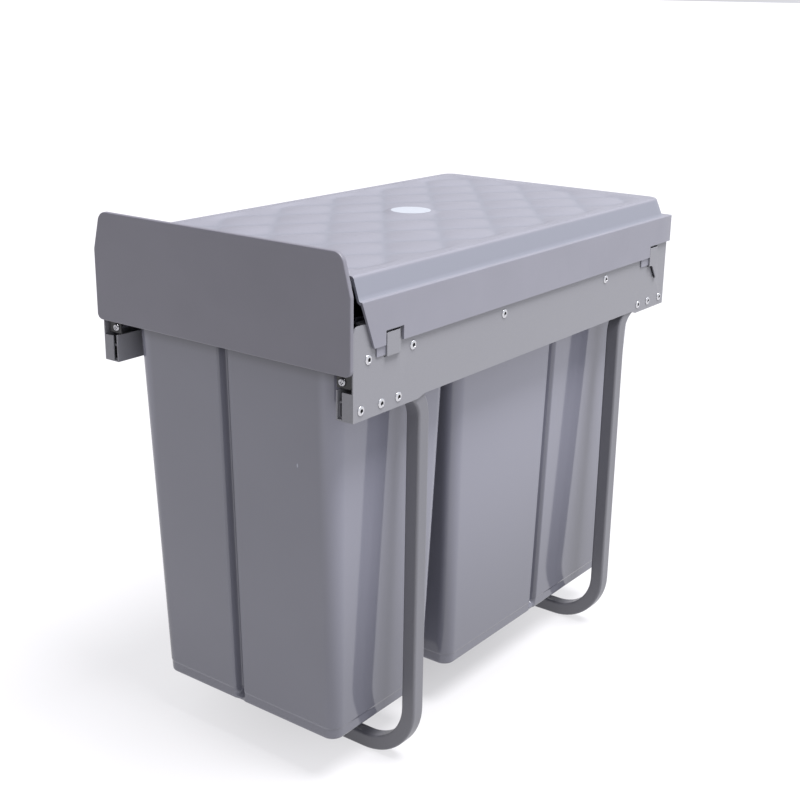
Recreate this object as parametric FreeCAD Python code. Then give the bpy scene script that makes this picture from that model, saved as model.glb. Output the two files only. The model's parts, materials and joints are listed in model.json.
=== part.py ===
import FreeCAD, Part
import math
import os

from FreeCAD import Vector as V

# A pull-out waste unit for a kitchen base cabinet, in millimetres, Z up, on a floor at Z = 0.
# X runs across the unit, its front faces -Y, and the origin lies under the middle of the whole.
# Two sheet-steel side plates stand on two U-shaped tubes and carry a clipped lid. A carriage on
# ball-bearing slides brings out the front panel and two hanging bins.
# The right side (+X) is modelled, and the left side is its mirror image.

# ---- overall sizes -------------------------------------------------------------------------
overall_width = 260.0        # across the hook tabs that hold the lid
overall_length = 480.0       # face of the front panel to the rear wall of the lid
lid_top = 418.0              # floor to the top of the lid
panel_rise = 18.2            # the front panel stands this much above the lid

# ---- side plates: folded sheet -------------------------------------------------------------
sheet = 1.2                  # thickness of the steel sheet
hook_lift = 2.4              # the lanced hook tabs stand this far off the plate
plate_drop = 33.5            # lid's top down to the plate's upper edge
plate_height = 68.5          # at the two ends, where the channels are
mid_lift = 2.5               # the lower edge is this much higher between the channels
panel_gap = 1.2              # front panel's back to the plate's front edge
rear_inset = 3.3             # lid's rear wall to the plate's rear edge
horn_radius = 6.0            # rounded upper corners of the plate
flange_width = 8.4           # folded upper edge, on which the lid rests
flange_front = 13.0          # the folded edge starts this far behind the plate's front edge
flange_rear = 6.0
channel_height = 22.0        # inner wall of the lower channel
channel_play = 0.1           # between the tube and the channel's inner wall
channel_end = 1.0            # the channels end this far before the bend of the tube
front_step = 76.0            # plate's front edge to the step in its lower edge
rear_step = 55.0
step_run = 8.0               # the step is a slope this long
end_tab_width = 10.0         # tab that is folded across the front end of the channel
end_tab_height = 21.0
tube_end_gap = 0.4           # end of the tube to the end of its channel

# ---- hook tabs for the lid ------------------------------------------------------------------
hook_height = 17.0
hook_below_edge = 10.0       # plate's upper edge down to the tab's upper edge
hook_slit = 0.5              # gap cut round each tab
hook_ramp = 4.0              # length of the slope from the plate to the raised tab
front_hook = (34.7, 53.2)    # plate's front edge to the free end and to the root
rear_hook = (37.2, 18.7)     # plate's rear edge to the free end and to the root
hook_drop = 13.0             # the rear tab's lower edge curves down this far at its root
hook_corner = 2.0
hook_neck = 6.0              # straight lower edge of the rear tab, from its free end
hook_heel = 4.0              # straight lower edge at its root
hook_curve = 4.0             # radius of the two bends between them

# ---- legs: bent square tube -----------------------------------------------------------------
tube = 12.7                  # outside width of the square tube
tube_wall = 1.2
bend_radius = 25.0           # centre line of every bend
front_leg_reach = 86.0       # plate's front edge to the middle of the front leg
rear_leg_reach = 77.4
floor_hole_radius = 2.5      # screw holes in the bars on the floor
floor_hole_spacing = 120.0

# ---- blind rivets ---------------------------------------------------------------------------
rivet_shank = 2.0            # radius
rivet_head = 3.7             # radius
rivet_crown = 2.4            # radius of the flat on top of the head
rivet_head_height = 1.1
leg_rivets = (8.5, 31.5, 51.5)     # distances from the plate's end
slide_rivets = (10.5, 62.0, 183.0)    # distances from the slide's front end
rear_slide_rivet = 110.0     # and from its rear end
round_sides = 8              # small round pieces and their holes are turned with few sides
hidden_sides = 6             # and with fewer where the unit hides them

# ---- ball-bearing slides --------------------------------------------------------------------
slide_height = 35.0
slide_depth = 12.7
slide_drop = 25.8            # plate's upper edge down to the middle of the slide
slide_front = 6.2            # plate's front edge to the slide's front end
slide_rear = 7.7             # plate's rear edge to the slide's rear end
member_back = 8.0            # the moving members end this far before the outer one
middle_short = 2.0           # the middle member ends this much before the inner one
ball_radius = 1.8
ball_play = 0.05             # between a ball and its two races
ball_side_play = 0.25        # between a ball and the lips beside it
race_lip = 1.2               # lips that keep the balls on the races
lip_stagger = 1.0            # the outer member's lips lie this much behind the middle one's
cage_sheet = 0.5
cage_play = 0.25             # web of a cage to the webs beside it
cage_start = 110.0           # slide's front end to the front of the cages
cage_length = 216.0
cage_hole_play = 0.15
cage_margin = 0.9            # edge of a cage beyond its balls
balls_in_row = 2
ball_sides = 6
ball_belt = 0.92             # shares of a ball's radius: its widest ring,
ball_cap = 0.45              # and its flat ends
stop_height = 17.0
stop_depth = 10.0
stop_gap = 0.5               # moving members to the rubber stop when the unit is shut
stop_corner = 1.5

# ---- carriage -------------------------------------------------------------------------------
rail_sheet = 1.5
rail_height = 31.0
rail_flange = 9.1            # ledge for the rims of the bins
rail_above_slide = 19.3      # middle of the slide up to the ledge
rail_rear = 1.7              # plate's rear edge to the end of the rails
bar_thickness = 3.0
bar_clearance = 0.6          # between a bar or rail and the wall of a bin
bracket_sheet = 1.5
bracket_width = 13.3
bracket_top_drop = 20.0      # lid's top down to the bracket's upper edge
bracket_bottom_drop = 79.0
bracket_corner = 2.0
bracket_arm = 36.0
bracket_arm_height = 22.0
bracket_arm_corner = 4.0
bracket_arm_gap = 0.5        # between the arm and the bar above it
screw_shank = 1.6
screw_head = 3.2
screw_crown = 2.4
screw_head_height = 1.5
rail_screw_count = 3
rail_screw_end = 49.0        # first and last screw to the ends of the slide
arm_rivets = (14.0, 27.0)    # distances from the bracket's face
arm_rivet_rise = 2.0         # above the middle of the slide
door_screw_inset = 1.5       # inwards from the panel screws
door_screw_rise = 4.6        # above the bracket's lower edge
door_screw_tail = 1.0        # the screw's end behind the bracket

# ---- front panel: moulded -------------------------------------------------------------------
panel_wall = 3.6
panel_height = 86.2
panel_inset = 1.0            # the panel's side edge lies this far inside the overall width
panel_top_inset = 9.0
panel_taper = 30.0           # height of the tapered upper corners
panel_kink = 6.0             # corner radii
panel_top_corner = 9.0
panel_bottom_corner = 5.0
panel_edge = 0.8             # bevel all round the face
boss_height = 4.0
boss_radius = 4.6
boss_levels = (27.0, 61.0)   # lid's top down to the screws in the panel

# ---- bins: moulded --------------------------------------------------------------------------
bin_floor = 40.0             # floor to the underside of the bins
bin_wall = 2.0
bin_draft = 10.0             # each wall leans in this much from rim to floor
bin_corner = 11.0
bin_foot = 10.0              # height of the narrower foot
bin_foot_inset = 0.8
bin_foot_bevel = 2.5
rim_play = 0.2               # rim to the ledge under it
rim_overlap = 5.6            # rim on the ledge
rim_thickness = 2.5
rim_lip = 6.0                # raised edge round the rim
rim_lip_wall = 1.6
rim_corner = 14.0
rim_narrow = 4.5             # rim between the two bins
rim_rear = 6.0
front_rim_gap = 4.6          # panel's back to the rim of the front bin
front_bin_front = 10.9       # panel's back to the wall of the front bin, at the rim
front_bin_depth = 141.0
bins_gap = 11.0
rear_bin_rear = 9.7          # plate's rear edge to the wall of the rear bin, at the rim
flute_half_width = 5.0       # at the face of the wall
flute_half_floor = 2.2
flute_depth = 3.6
front_flute_offset = -8.0    # the flutes of the front bin lie this far off its middle

# ---- lid: moulded ---------------------------------------------------------------------------
lid_wall = 2.0
skirt_gap = 0.3              # plate's outside to the skirt's inside
skirt_drop = 52.0            # lid's top down to the skirt's lower edge
step_drop = 17.0             # lid's top down to the ledge above the skirt
rear_skirt_drop = 41.5       # lid's top down to the lower edge of the rear wall
ledge = 2.6                  # width of the ledge at the sides
rear_ledge = 8.0
shoulder = 5.6               # the shoulder leans in this much
rear_shoulder = 4.0
lid_corner = 10.0
lid_edge = 1.8               # bevel of the upper edge
lid_front_gap = 1.4          # panel's back to the lid's front edge, at the top
lid_front_lean = 0.40        # the front end leans back this much for each mm down
lid_lip = 9.0                # front lip below the top
lid_lip_inset = 1.5          # the lip's ends stop this far inside the shoulder
quilt_columns = 4            # pillows across the top
quilt_rows = 6
quilt_depth = 1.5            # the seams between the pillows lie this much lower
quilt_side_border = 5.7      # flat border round the pillows
quilt_end_border = 13.0
rib_count = 4                # ribs on each side, which rest on the folded edge of the plate
rib_end = 45.0               # first and last rib to the ends of the plate
rib_width = 9.2
rib_thickness = 2.0
notch_gap = 1.0              # hook tab to the notch in the skirt
rear_notch_gap = 0.3
tongue_play = 0.2            # the lid's tongues lie between the plate and the hook tabs
tongue_hold = 9.0            # length of a tongue on the skirt
rear_tongue_hold = 14.0
tongue_edge = 1.0
tongue_top_edge = 2.0
fuse_depth = 0.2             # ribs sink this far into the wall that carries them

overshoot = 1.0              # what is cut away reaches this far past the faces it cuts


# ---- places that follow from the sizes ------------------------------------------------------
half_width = overall_width / 2
panel_face = -overall_length / 2
panel_back = panel_face + panel_wall
lid_rear = overall_length / 2

plate_outer = half_width - hook_lift
plate_inner = plate_outer - sheet
plate_front = panel_back + panel_gap
plate_rear = lid_rear - rear_inset
plate_top = lid_top - plate_drop
plate_bottom = plate_top - plate_height

tube_x = plate_inner - tube / 2
tube_z = plate_bottom + sheet + tube / 2
front_leg_y = plate_front + front_leg_reach
rear_leg_y = plate_rear - rear_leg_reach

slide_z = plate_top - slide_drop
slide_y0 = plate_front + slide_front
slide_y1 = plate_rear - slide_rear
slide_face = plate_inner - slide_depth
slide_end = slide_y1 - member_back

rail_outer = slide_face
rail_inner = rail_outer - rail_sheet
ledge_inner = rail_outer - rail_flange
ledge_z = slide_z + rail_above_slide
rail_y1 = plate_rear - rail_rear

boss_face = panel_back + boss_height
bracket_back = boss_face + bracket_sheet
rail_y0 = bracket_back

bracket_x0 = rail_inner - bracket_sheet
bracket_x1 = bracket_x0 + bracket_width
bracket_z0 = lid_top - bracket_bottom_drop
bracket_z1 = lid_top - bracket_top_drop

bin_half_width = ledge_inner - bar_clearance
rim_z = ledge_z + rim_play
front_bin_y0 = panel_back + front_bin_front
front_bin_y1 = front_bin_y0 + front_bin_depth
rear_bin_y0 = front_bin_y1 + bins_gap
rear_bin_y1 = plate_rear - rear_bin_rear
bin_lean = bin_draft / (rim_z - bin_floor)
foot_z = bin_floor + bin_foot

skirt_inner = plate_outer + skirt_gap
skirt_outer = skirt_inner + lid_wall
step_z = lid_top - step_drop
skirt_bottom = lid_top - skirt_drop
lid_front = panel_back + lid_front_gap


# ---- helpers --------------------------------------------------------------------------------
def box(x0, x1, y0, y1, z0, z1):
    return Part.makeBox(x1 - x0, y1 - y0, z1 - z0, V(x0, y0, z0))


def outline(corners, place):
    """Closed wire through flat corners (a, b) or (a, b, radius); place(a, b) is a point in space."""
    spots = [V(c[0], c[1], 0) for c in corners]
    radii = [c[2] if len(c) > 2 else 0 for c in corners]
    ins, mids, outs = [], [], []
    for i, (here, radius) in enumerate(zip(spots, radii)):
        back = (spots[i - 1] - here).normalize()
        on = (spots[(i + 1) % len(spots)] - here).normalize()
        half = back.getAngle(on) / 2
        reach = radius / math.tan(half)
        towards = (back + on).normalize() if radius else V(0, 0, 0)
        centre = here + towards * (radius / math.sin(half))
        ins.append(here + back * reach)
        mids.append(centre - towards * radius)
        outs.append(here + on * reach)
    edges = []
    for i, radius in enumerate(radii):
        if radius:
            arc = Part.Arc(*[place(p.x, p.y) for p in (ins[i], mids[i], outs[i])])
            edges.append(arc.toShape())
        start, end = outs[i], ins[(i + 1) % len(spots)]
        if start.distanceToPoint(end) > 1e-6:
            edges.append(Part.makeLine(place(start.x, start.y), place(end.x, end.y)))
    return Part.Wire(edges)


def across(corners, x0, x1):
    """A side view (y, z), drawn out along X."""
    return Part.Face(outline(corners, lambda a, b: V(x0, a, b))).extrude(V(x1 - x0, 0, 0))


def along(corners, y0, y1):
    """A front view (x, z), drawn out along Y."""
    return Part.Face(outline(corners, lambda a, b: V(a, y0, b))).extrude(V(0, y1 - y0, 0))


def upright(corners, z0, z1):
    """A plan (x, y), drawn out along Z."""
    return Part.Face(outline(corners, lambda a, b: V(a, b, z0))).extrude(V(0, 0, z1 - z0))


def closed(loops):
    """A solid from the loops of points round its flat faces."""
    faces = [Part.Face(Part.makePolygon(loop + loop[:1])) for loop in loops]
    solid = Part.makeSolid(Part.makeShell(faces))
    if solid.Volume < 0:
        solid.reverse()
    return solid


def flat_faced(rings):
    """A solid with flat faces through closed rings of points, capped by the first and the last."""
    loops = [rings[0][::-1], rings[-1]]
    for low, high in zip(rings, rings[1:]):
        loops += [[low[i - 1], low[i], high[i], high[i - 1]] for i in range(len(low))]
    return closed(loops)


def turned(profile, base, axis, sides=round_sides):
    """A small round piece: profile = [(way along the axis, radius), ...] from end to end."""
    aside = V(0, 0, 1) if abs(axis.z) < 0.5 else V(1, 0, 0)
    turns = [FreeCAD.Rotation(axis, 360.0 * (i + 0.5) / sides) for i in range(sides)]
    spokes = [turn.multVec(aside) for turn in turns]
    return flat_faced([[base + axis * way + spoke * radius for spoke in spokes]
                       for way, radius in profile])


def prism(radius, base, axis, length, sides=round_sides):
    return turned([(0, radius), (length, radius)], base, axis, sides)


def drafted(plan_at, z0, z1, corners, radius):
    """A block between two levels with flat leaning walls; plan_at(z) = (half width, y0, y1).

    corners picks the uprights that are rounded, from their middle point.
    """
    rings = []
    for z in (z0, z1):
        half, y0, y1 = plan_at(z)
        rings.append([V(-half, y0, z), V(half, y0, z), V(half, y1, z), V(-half, y1, z)])
    block = flat_faced(rings)
    uprights = [e for e in block.Edges if e.BoundBox.ZLength > (z1 - z0) / 2 and corners(e.CenterOfMass)]
    return block.makeFillet(radius, uprights)


def fuse(shapes):
    """One clean solid from shapes that touch or overlap."""
    return shapes[0].fuse(shapes[1:]).removeSplitter()


def mirror(shape):
    return shape.mirror(V(0, 0, 0), V(1, 0, 0))


def save(name, shape):
    solids = shape.Solids
    result = solids[0] if len(solids) == 1 else Part.makeCompound(solids)
    result.exportStep("parts/" + name + ".step")
    print("%-24s solids %2d  volume %10.1f  valid %s" % (name, len(solids), shape.Volume, shape.isValid()))


def save_pair(name, shape):
    """The piece of the right side and its mirror image."""
    save(name + "_right", shape)
    save(name + "_left", mirror(shape))


# ---- side plate -----------------------------------------------------------------------------
def hook_outlines():
    """Side views of the two hook tabs, as they are (grow = 0) or with their slit round them."""
    top = plate_top - hook_below_edge
    bottom = top - hook_height

    def front(grow):
        free, root = plate_front + front_hook[0] - grow, plate_front + front_hook[1]
        return [(free, bottom - grow), (root, bottom - grow), (root, top + grow),
                (free, top + grow, hook_corner)]

    def rear(grow):
        free, root = plate_rear - rear_hook[0] - grow, plate_rear - rear_hook[1]
        low = bottom - hook_drop - grow
        return [(free, bottom - grow), (free + hook_neck, bottom - grow, hook_curve),
                (root - hook_heel, low, hook_curve), (root, low), (root, top + grow),
                (free, top + grow, hook_corner)]

    return (front, plate_front + front_hook[1]), (rear, plate_rear - rear_hook[1])


def hook_tab(view, root):
    """A strip of the plate that is pushed out to half_width, still joined at its rear end."""
    inner, outer = half_width - sheet, half_width
    ramp = root - hook_ramp
    section = upright([(plate_inner, root), (inner, ramp), (inner, plate_front), (outer, plate_front),
                       (outer, ramp), (plate_outer, root)], plate_bottom, plate_top)
    return section.common(across(view, plate_inner - overshoot, half_width + overshoot))


def side_plate():
    front_end = plate_front + front_step
    rear_end = plate_rear - rear_step
    low, mid = plate_bottom, plate_bottom + mid_lift
    wall = across([(plate_front, low), (front_end, low), (front_end + step_run, mid),
                   (rear_end - step_run, mid), (rear_end, low), (plate_rear, low),
                   (plate_rear, plate_top, horn_radius), (plate_front, plate_top, horn_radius)],
                  plate_inner, plate_outer)
    flange = box(plate_outer - flange_width, plate_outer - sheet / 2,
                 plate_front + flange_front, plate_rear - flange_rear, plate_top - sheet, plate_top)
    channel_x = plate_inner - tube - channel_play
    pieces = [wall, flange]
    bend = bend_radius + channel_end
    for y0, y1 in ((plate_front, front_leg_y - bend), (rear_leg_y + bend, plate_rear)):
        pieces.append(box(channel_x - sheet, plate_outer - sheet / 2, y0, y1, low, low + sheet))
        pieces.append(box(channel_x - sheet, channel_x, y0, y1, low, low + channel_height))
    pieces.append(box(plate_outer - end_tab_width, plate_outer - sheet / 2, plate_front,
                      plate_front + sheet, low, low + end_tab_height))
    plate = fuse(pieces)
    for view, root in hook_outlines():
        window = view(hook_slit)
        plate = plate.cut(across(window, plate_inner - overshoot, plate_outer + overshoot))
        plate = plate.fuse(hook_tab(view(0), root)).removeSplitter()
    for hole in rivet_holes():
        plate = plate.cut(hole)
    return plate


# ---- rivets ---------------------------------------------------------------------------------
def leg_rivet_places():
    return [plate_front + d for d in leg_rivets] + [plate_rear - d for d in reversed(leg_rivets)]


def slide_rivet_places():
    return [slide_y0 + d for d in slide_rivets] + [slide_y1 - rear_slide_rivet]


def rivet_holes():
    """Holes for all rivets of one side, through the plate and what it is riveted to."""
    spots = [(y, tube_z) for y in leg_rivet_places()] + [(y, slide_z) for y in slide_rivet_places()]
    grip = 2 * sheet
    return [prism(rivet_shank, V(plate_outer - grip, y, z), V(1, 0, 0), grip) for y, z in spots]


def rivet(y, z):
    """Blind rivet from outside: a shank through both walls, and a flat dome."""
    profile = [(-2 * sheet, rivet_shank), (0, rivet_shank), (0, rivet_head),
               (rivet_head_height, rivet_crown)]
    return turned(profile, V(plate_outer, y, z), V(1, 0, 0))


def rivet_groups():
    slide = [rivet(y, slide_z) for y in slide_rivet_places()]
    leg = [rivet(y, tube_z) for y in leg_rivet_places()]
    return Part.makeCompound(slide), Part.makeCompound(leg)


# ---- legs -----------------------------------------------------------------------------------
def tube_section(place):
    """Square ring of the tube; place(a, b) puts flat offsets from the middle into space."""
    square = [(a * tube / 2, b * tube / 2) for a, b in ((-1, -1), (1, -1), (1, 1), (-1, 1))]
    bore = 1 - 2 * tube_wall / tube
    ring = Part.Face(outline(square, place))
    return ring.cut(Part.Face(outline([(a * bore, b * bore) for a, b in square], place)))


def leg(y, end, outward):
    """One bent tube: from its end in the channel (outward = -1 front, 1 rear) down, across and up."""
    high, low = tube_z - bend_radius, tube / 2 + bend_radius
    turn_y = y + outward * bend_radius
    turn_x = tube_x - bend_radius
    top = tube_section(lambda a, b: V(tube_x + a, turn_y, tube_z + b))
    upright_top = tube_section(lambda a, b: V(tube_x + a, y + b, high))
    upright_low = tube_section(lambda a, b: V(tube_x + a, y + b, low))
    side = [top.extrude(V(0, end - turn_y, 0)),
            top.revolve(V(0, turn_y, high), V(1, 0, 0), 90 * outward),
            upright_top.extrude(V(0, 0, low - high)),
            upright_low.revolve(V(turn_x, y, low), V(0, 1, 0), 90)]
    bar = tube_section(lambda a, b: V(-turn_x, y + a, tube / 2 + b)).extrude(V(2 * turn_x, 0, 0))
    whole = fuse([bar] + side + [mirror(s) for s in side])
    for x in (-floor_hole_spacing / 2, floor_hole_spacing / 2):
        whole = whole.cut(Part.makeCylinder(floor_hole_radius, tube + 2 * overshoot, V(x, y, -overshoot)))
    for hole in rivet_holes():
        whole = whole.cut(hole).cut(mirror(hole))
    return whole


# ---- slides ---------------------------------------------------------------------------------
ball_gap = 2 * (ball_radius + ball_play)
outer_half = slide_height / 2
middle_half = outer_half - sheet - ball_gap
inner_half = middle_half - sheet - ball_gap
outer_ball_z = outer_half - sheet - ball_gap / 2
inner_ball_z = middle_half - sheet - ball_gap / 2

outer_web = plate_inner - sheet
cage_outer_web = outer_web - cage_play
middle_web = cage_outer_web - cage_sheet - cage_play
middle_open = middle_web - sheet
cage_inner_web = middle_open - cage_play
inner_tip = cage_inner_web - cage_sheet - cage_play
inner_ball_x = inner_tip - race_lip - ball_side_play - ball_radius
middle_tip = inner_ball_x - ball_radius - ball_side_play - race_lip
outer_tip = middle_tip + lip_stagger
outer_ball_x = outer_tip + race_lip + ball_side_play + ball_radius


def slide_member(back, tip, half, raised, y0, y1):
    """A channel: a web at back, flanges to tip, and a lip on each flange that faces the balls."""
    towards = 1 if tip > back else -1
    web, lip = back + towards * sheet, tip - towards * race_lip
    under = half - sheet
    if raised:
        edge = [(lip, half), (lip, half + race_lip), (tip, half + race_lip), (tip, under)]
    else:
        edge = [(tip, half), (tip, under - race_lip), (lip, under - race_lip), (lip, under)]
    upper = [(back, half)] + edge + [(web, under)]
    lower = [(x, -z) for x, z in reversed(upper)]
    return along([(x, slide_z + z) for x, z in upper + lower], y0, y1)


def slide_members():
    outer = slide_member(plate_inner, outer_tip, outer_half, False, slide_y0, slide_y1)
    for hole in rivet_holes():
        outer = outer.cut(hole)
    middle = slide_member(middle_web, middle_tip, middle_half, False, slide_y0, slide_end - middle_short)
    inner = slide_member(slide_face, inner_tip, inner_half, True, slide_y0, slide_end)
    for y, z in rail_screw_places():
        inner = inner.cut(prism(screw_shank, V(slide_face, y, z), V(1, 0, 0), sheet, hidden_sides))
    return outer, middle, inner


def ball_places():
    """Distances along Y of the balls of one row."""
    pitch = cage_length / balls_in_row
    return [slide_y0 + cage_start + pitch * (i + 0.5) for i in range(balls_in_row)]


def ball(centre):
    """A steel ball with few flats, as high as its races need."""
    belt, cap = ball_belt * ball_radius, ball_cap * ball_radius
    profile = [(-ball_radius, cap), (-cap, belt), (cap, belt), (ball_radius, cap)]
    return turned(profile, centre, V(0, 0, 1), ball_sides)


def ball_cage(web, ball_x, level):
    """A thin channel that keeps two rows of balls apart, and the balls in it."""
    y0 = slide_y0 + cage_start
    y1 = y0 + cage_length
    tip, strip = ball_x - ball_radius - cage_margin, cage_sheet / 2
    upper = [(web, level + strip), (tip, level + strip),
             (tip, level - strip), (web - cage_sheet, level - strip)]
    lower = [(x, -z) for x, z in reversed(upper)]
    cage = along([(x, slide_z + z) for x, z in upper + lower], y0, y1)
    balls = []
    for y in ball_places():
        cage = cage.cut(prism(ball_radius + cage_hole_play, V(ball_x, y, slide_z - level - strip),
                              V(0, 0, 1), 2 * (level + strip)))
        balls += [ball(V(ball_x, y, slide_z + z)) for z in (-level, level)]
    return cage, Part.makeCompound(balls)


def slide_stop():
    """Rubber block on the outer member, which the moving members meet when the unit is shut."""
    y0 = slide_end + stop_gap
    low, high = slide_z - stop_height / 2, slide_z + stop_height / 2
    return across([(y0, low, stop_corner), (slide_y1, low), (slide_y1, high), (y0, high, stop_corner)],
                  outer_web - stop_depth, outer_web)


# ---- carriage -------------------------------------------------------------------------------
def screw(seat, into, length, sides=hidden_sides):
    """Pan-head screw: its head lies on seat, and its shank runs along the unit vector into."""
    profile = [(-screw_head_height, screw_crown), (0, screw_head), (0, screw_shank), (length, screw_shank)]
    return turned(profile, seat, into, sides)


def carriage_rail():
    web = box(rail_inner, rail_outer, rail_y0, rail_y1, ledge_z - rail_height, ledge_z)
    flange = box(ledge_inner, rail_outer, rail_y0, rail_y1, ledge_z - rail_sheet, ledge_z)
    rail = fuse([web, flange])
    for y, z in rail_screw_places() + arm_rivet_places():
        rail = rail.cut(prism(screw_shank, V(rail_inner, y, z), V(1, 0, 0), rail_sheet, hidden_sides))
    return rail


def cross_bar(y0, y1):
    """Flat bar under the ledges, from rail to rail."""
    top = ledge_z - rail_sheet
    return box(-rail_inner, rail_inner, y0, y1, top - bar_thickness, top)


def cross_bars():
    wall = bin_lean * (rail_sheet + bar_thickness)
    front = cross_bar(bracket_back, front_bin_y0 - bar_clearance)
    centre = cross_bar(front_bin_y1 + bar_clearance - wall, rear_bin_y0 - bar_clearance + wall)
    rear = cross_bar(rear_bin_y1 + bar_clearance, rail_y1)
    return front, centre, rear


def rail_screw_places():
    first, last = slide_y0 + rail_screw_end, slide_y1 - rail_screw_end
    pitch = (last - first) / (rail_screw_count - 1)
    return [(first + i * pitch, slide_z) for i in range(rail_screw_count)]


def arm_rivet_places():
    return [(bracket_back + d, slide_z + arm_rivet_rise) for d in arm_rivets]


def panel_screw_places():
    x = (bracket_x0 + bracket_x1) / 2
    return [(x, lid_top - drop) for drop in boss_levels]


def door_screw_place():
    x = (bracket_x0 + bracket_x1) / 2
    return x - door_screw_inset, bracket_z0 + door_screw_rise


def panel_bracket():
    """Angle bracket: an arm along the inside of the rail, and a flange behind the panel."""
    flange = along([(bracket_x0, bracket_z0), (bracket_x1, bracket_z0, bracket_corner),
                    (bracket_x1, bracket_z1, bracket_corner), (bracket_x0, bracket_z1)],
                   boss_face, bracket_back)
    end = boss_face + bracket_arm
    top = ledge_z - rail_sheet - bar_thickness - bracket_arm_gap
    low = top - bracket_arm_height
    arm = across([(boss_face, low), (end, low, bracket_arm_corner), (end, top, bracket_arm_corner),
                  (boss_face, top)], bracket_x0, rail_inner)
    bracket = fuse([flange, arm])
    x, z = door_screw_place()
    bracket = bracket.cut(prism(screw_shank, V(x, boss_face, z), V(0, 1, 0), bracket_sheet))
    holes = [(V(x, boss_face, z), V(0, 1, 0)) for x, z in panel_screw_places()]
    holes += [(V(bracket_x0, y, z), V(1, 0, 0)) for y, z in arm_rivet_places()]
    for spot, axis in holes:
        bracket = bracket.cut(prism(screw_shank, spot, axis, bracket_sheet, hidden_sides))
    return bracket


def rail_screw_group():
    return Part.makeCompound([screw(V(rail_inner, y, z), V(1, 0, 0), rail_sheet + sheet)
                              for y, z in rail_screw_places()])


def bracket_rivet_group():
    return Part.makeCompound([screw(V(bracket_x0, y, z), V(1, 0, 0), bracket_sheet + rail_sheet)
                              for y, z in arm_rivet_places()])


def panel_screw_group():
    length = bracket_sheet + boss_height + panel_wall / 2
    screws = [screw(V(x, bracket_back, z), V(0, -1, 0), length) for x, z in panel_screw_places()]
    return Part.makeCompound(screws + [mirror(s) for s in screws])


def door_screw():
    x, z = door_screw_place()
    return screw(V(x, boss_face, z), V(0, 1, 0), bracket_sheet + door_screw_tail, round_sides)


def front_panel():
    top = lid_top + panel_rise
    bottom = top - panel_height
    wide, narrow = half_width - panel_inset, half_width - panel_top_inset
    half = [(wide, bottom, panel_bottom_corner), (wide, top - panel_taper, panel_kink),
            (narrow, top, panel_top_corner)]
    panel = along(half + [(-x, z, r) for x, z, r in reversed(half)], panel_face, panel_back)
    rim = [e for e in panel.Edges if abs(e.BoundBox.YMax - panel_face) < 1e-6]
    panel = panel.makeChamfer(panel_edge, rim)
    bosses = [prism(boss_radius, V(side * x, panel_back, z), V(0, 1, 0), boss_height)
              for x, z in panel_screw_places() for side in (-1, 1)]
    panel = fuse([panel] + bosses)
    for piece in panel_screw_group().Solids:
        panel = panel.cut(piece)
    return panel


# ---- bins -----------------------------------------------------------------------------------
def flute(face, run, inward, top, wall):
    """A groove down a leaning wall, from the point face at its top.

    run and inward are unit vectors along the wall and into the bin. wall = 0 gives the groove itself,
    and the bin's wall thickness gives the ridge that it makes inside.
    """
    slope = (flute_half_width - flute_half_floor) / flute_depth
    spread = wall * (math.hypot(1, slope) - slope)
    mouth = flute_half_width + spread + slope * overshoot
    floor = flute_half_floor + spread
    corners = ((-mouth, -overshoot), (mouth, -overshoot), (floor, flute_depth), (-floor, flute_depth))
    points = [face + run * s + inward * (wall + d) for s, d in corners]
    length = top - bin_floor
    section = Part.Face(Part.makePolygon(points + points[:1]))
    return section.extrude(V(0, 0, -length) + inward * bin_lean * length)


def waste_bin(y0, y1, rims, flute_spots):
    """A drafted bin with a foot, flutes and a rim; rims = widths of the rim at front and rear.

    flute_spots = [(x, y, run, inward), ...] at the height of the rim.
    """
    def walls(inset, z0, z1):
        def plan_at(z):
            total = inset + bin_lean * (rim_z - z)
            return bin_half_width - total, y0 + total, y1 - total
        return drafted(plan_at, z0, z1, lambda point: True, bin_corner - inset)

    def flutes(wall):
        """Grooves or ridges, drawn from just above the rim to the floor."""
        rise = rim_thickness + overshoot
        return [flute(V(x, y, rim_z + rise) - inward * bin_lean * rise, run, inward, rim_z + rise, wall)
                for x, y, run, inward in flute_spots]

    foot = walls(bin_foot_inset, bin_floor, foot_z)
    foot = foot.makeChamfer(bin_foot_bevel, [e for e in foot.Edges if e.BoundBox.ZMax < bin_floor + 1e-6])
    top = rim_z + rim_thickness
    shell = fuse([walls(0, foot_z, top), foot]).cut(flutes(0))
    hollow = walls(bin_wall, bin_floor + bin_wall, top + overshoot).cut(flutes(bin_wall))

    rx, ry0, ry1 = ledge_inner + rim_overlap, y0 - rims[0], y1 + rims[1]
    outer = ((-rx, ry0), (rx, ry0), (rx, ry1), (-rx, ry1))
    w = rim_lip_wall
    inner = ((-rx + w, ry0 + w), (rx - w, ry0 + w), (rx - w, ry1 - w), (-rx + w, ry1 - w))
    rim = upright([(x, y, rim_corner) for x, y in outer], rim_z, rim_z + rim_lip)
    rim = rim.cut(upright([(x, y, rim_corner - w) for x, y in inner], top, top + rim_lip))
    return fuse([shell, rim]).cut(hollow)


def bins():
    x, along_x, along_y = front_flute_offset, V(1, 0, 0), V(0, 1, 0)
    ends = [(x, front_bin_y0, along_x, along_y), (x, front_bin_y1, along_x, along_y * -1)]
    front = waste_bin(front_bin_y0, front_bin_y1, (front_bin_front - front_rim_gap, rim_narrow), ends)
    middle = (rear_bin_y0 + rear_bin_y1) / 2
    sides = [(side * bin_half_width, middle, along_y, along_x * -side) for side in (-1, 1)]
    rear = waste_bin(rear_bin_y0, rear_bin_y1, (rim_narrow, rim_rear), sides)
    return front, rear


# ---- lid ------------------------------------------------------------------------------------
def lid_front_at(z):
    """Y of the leaning front end at height z."""
    return lid_front + lid_front_lean * (lid_top - z)


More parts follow.
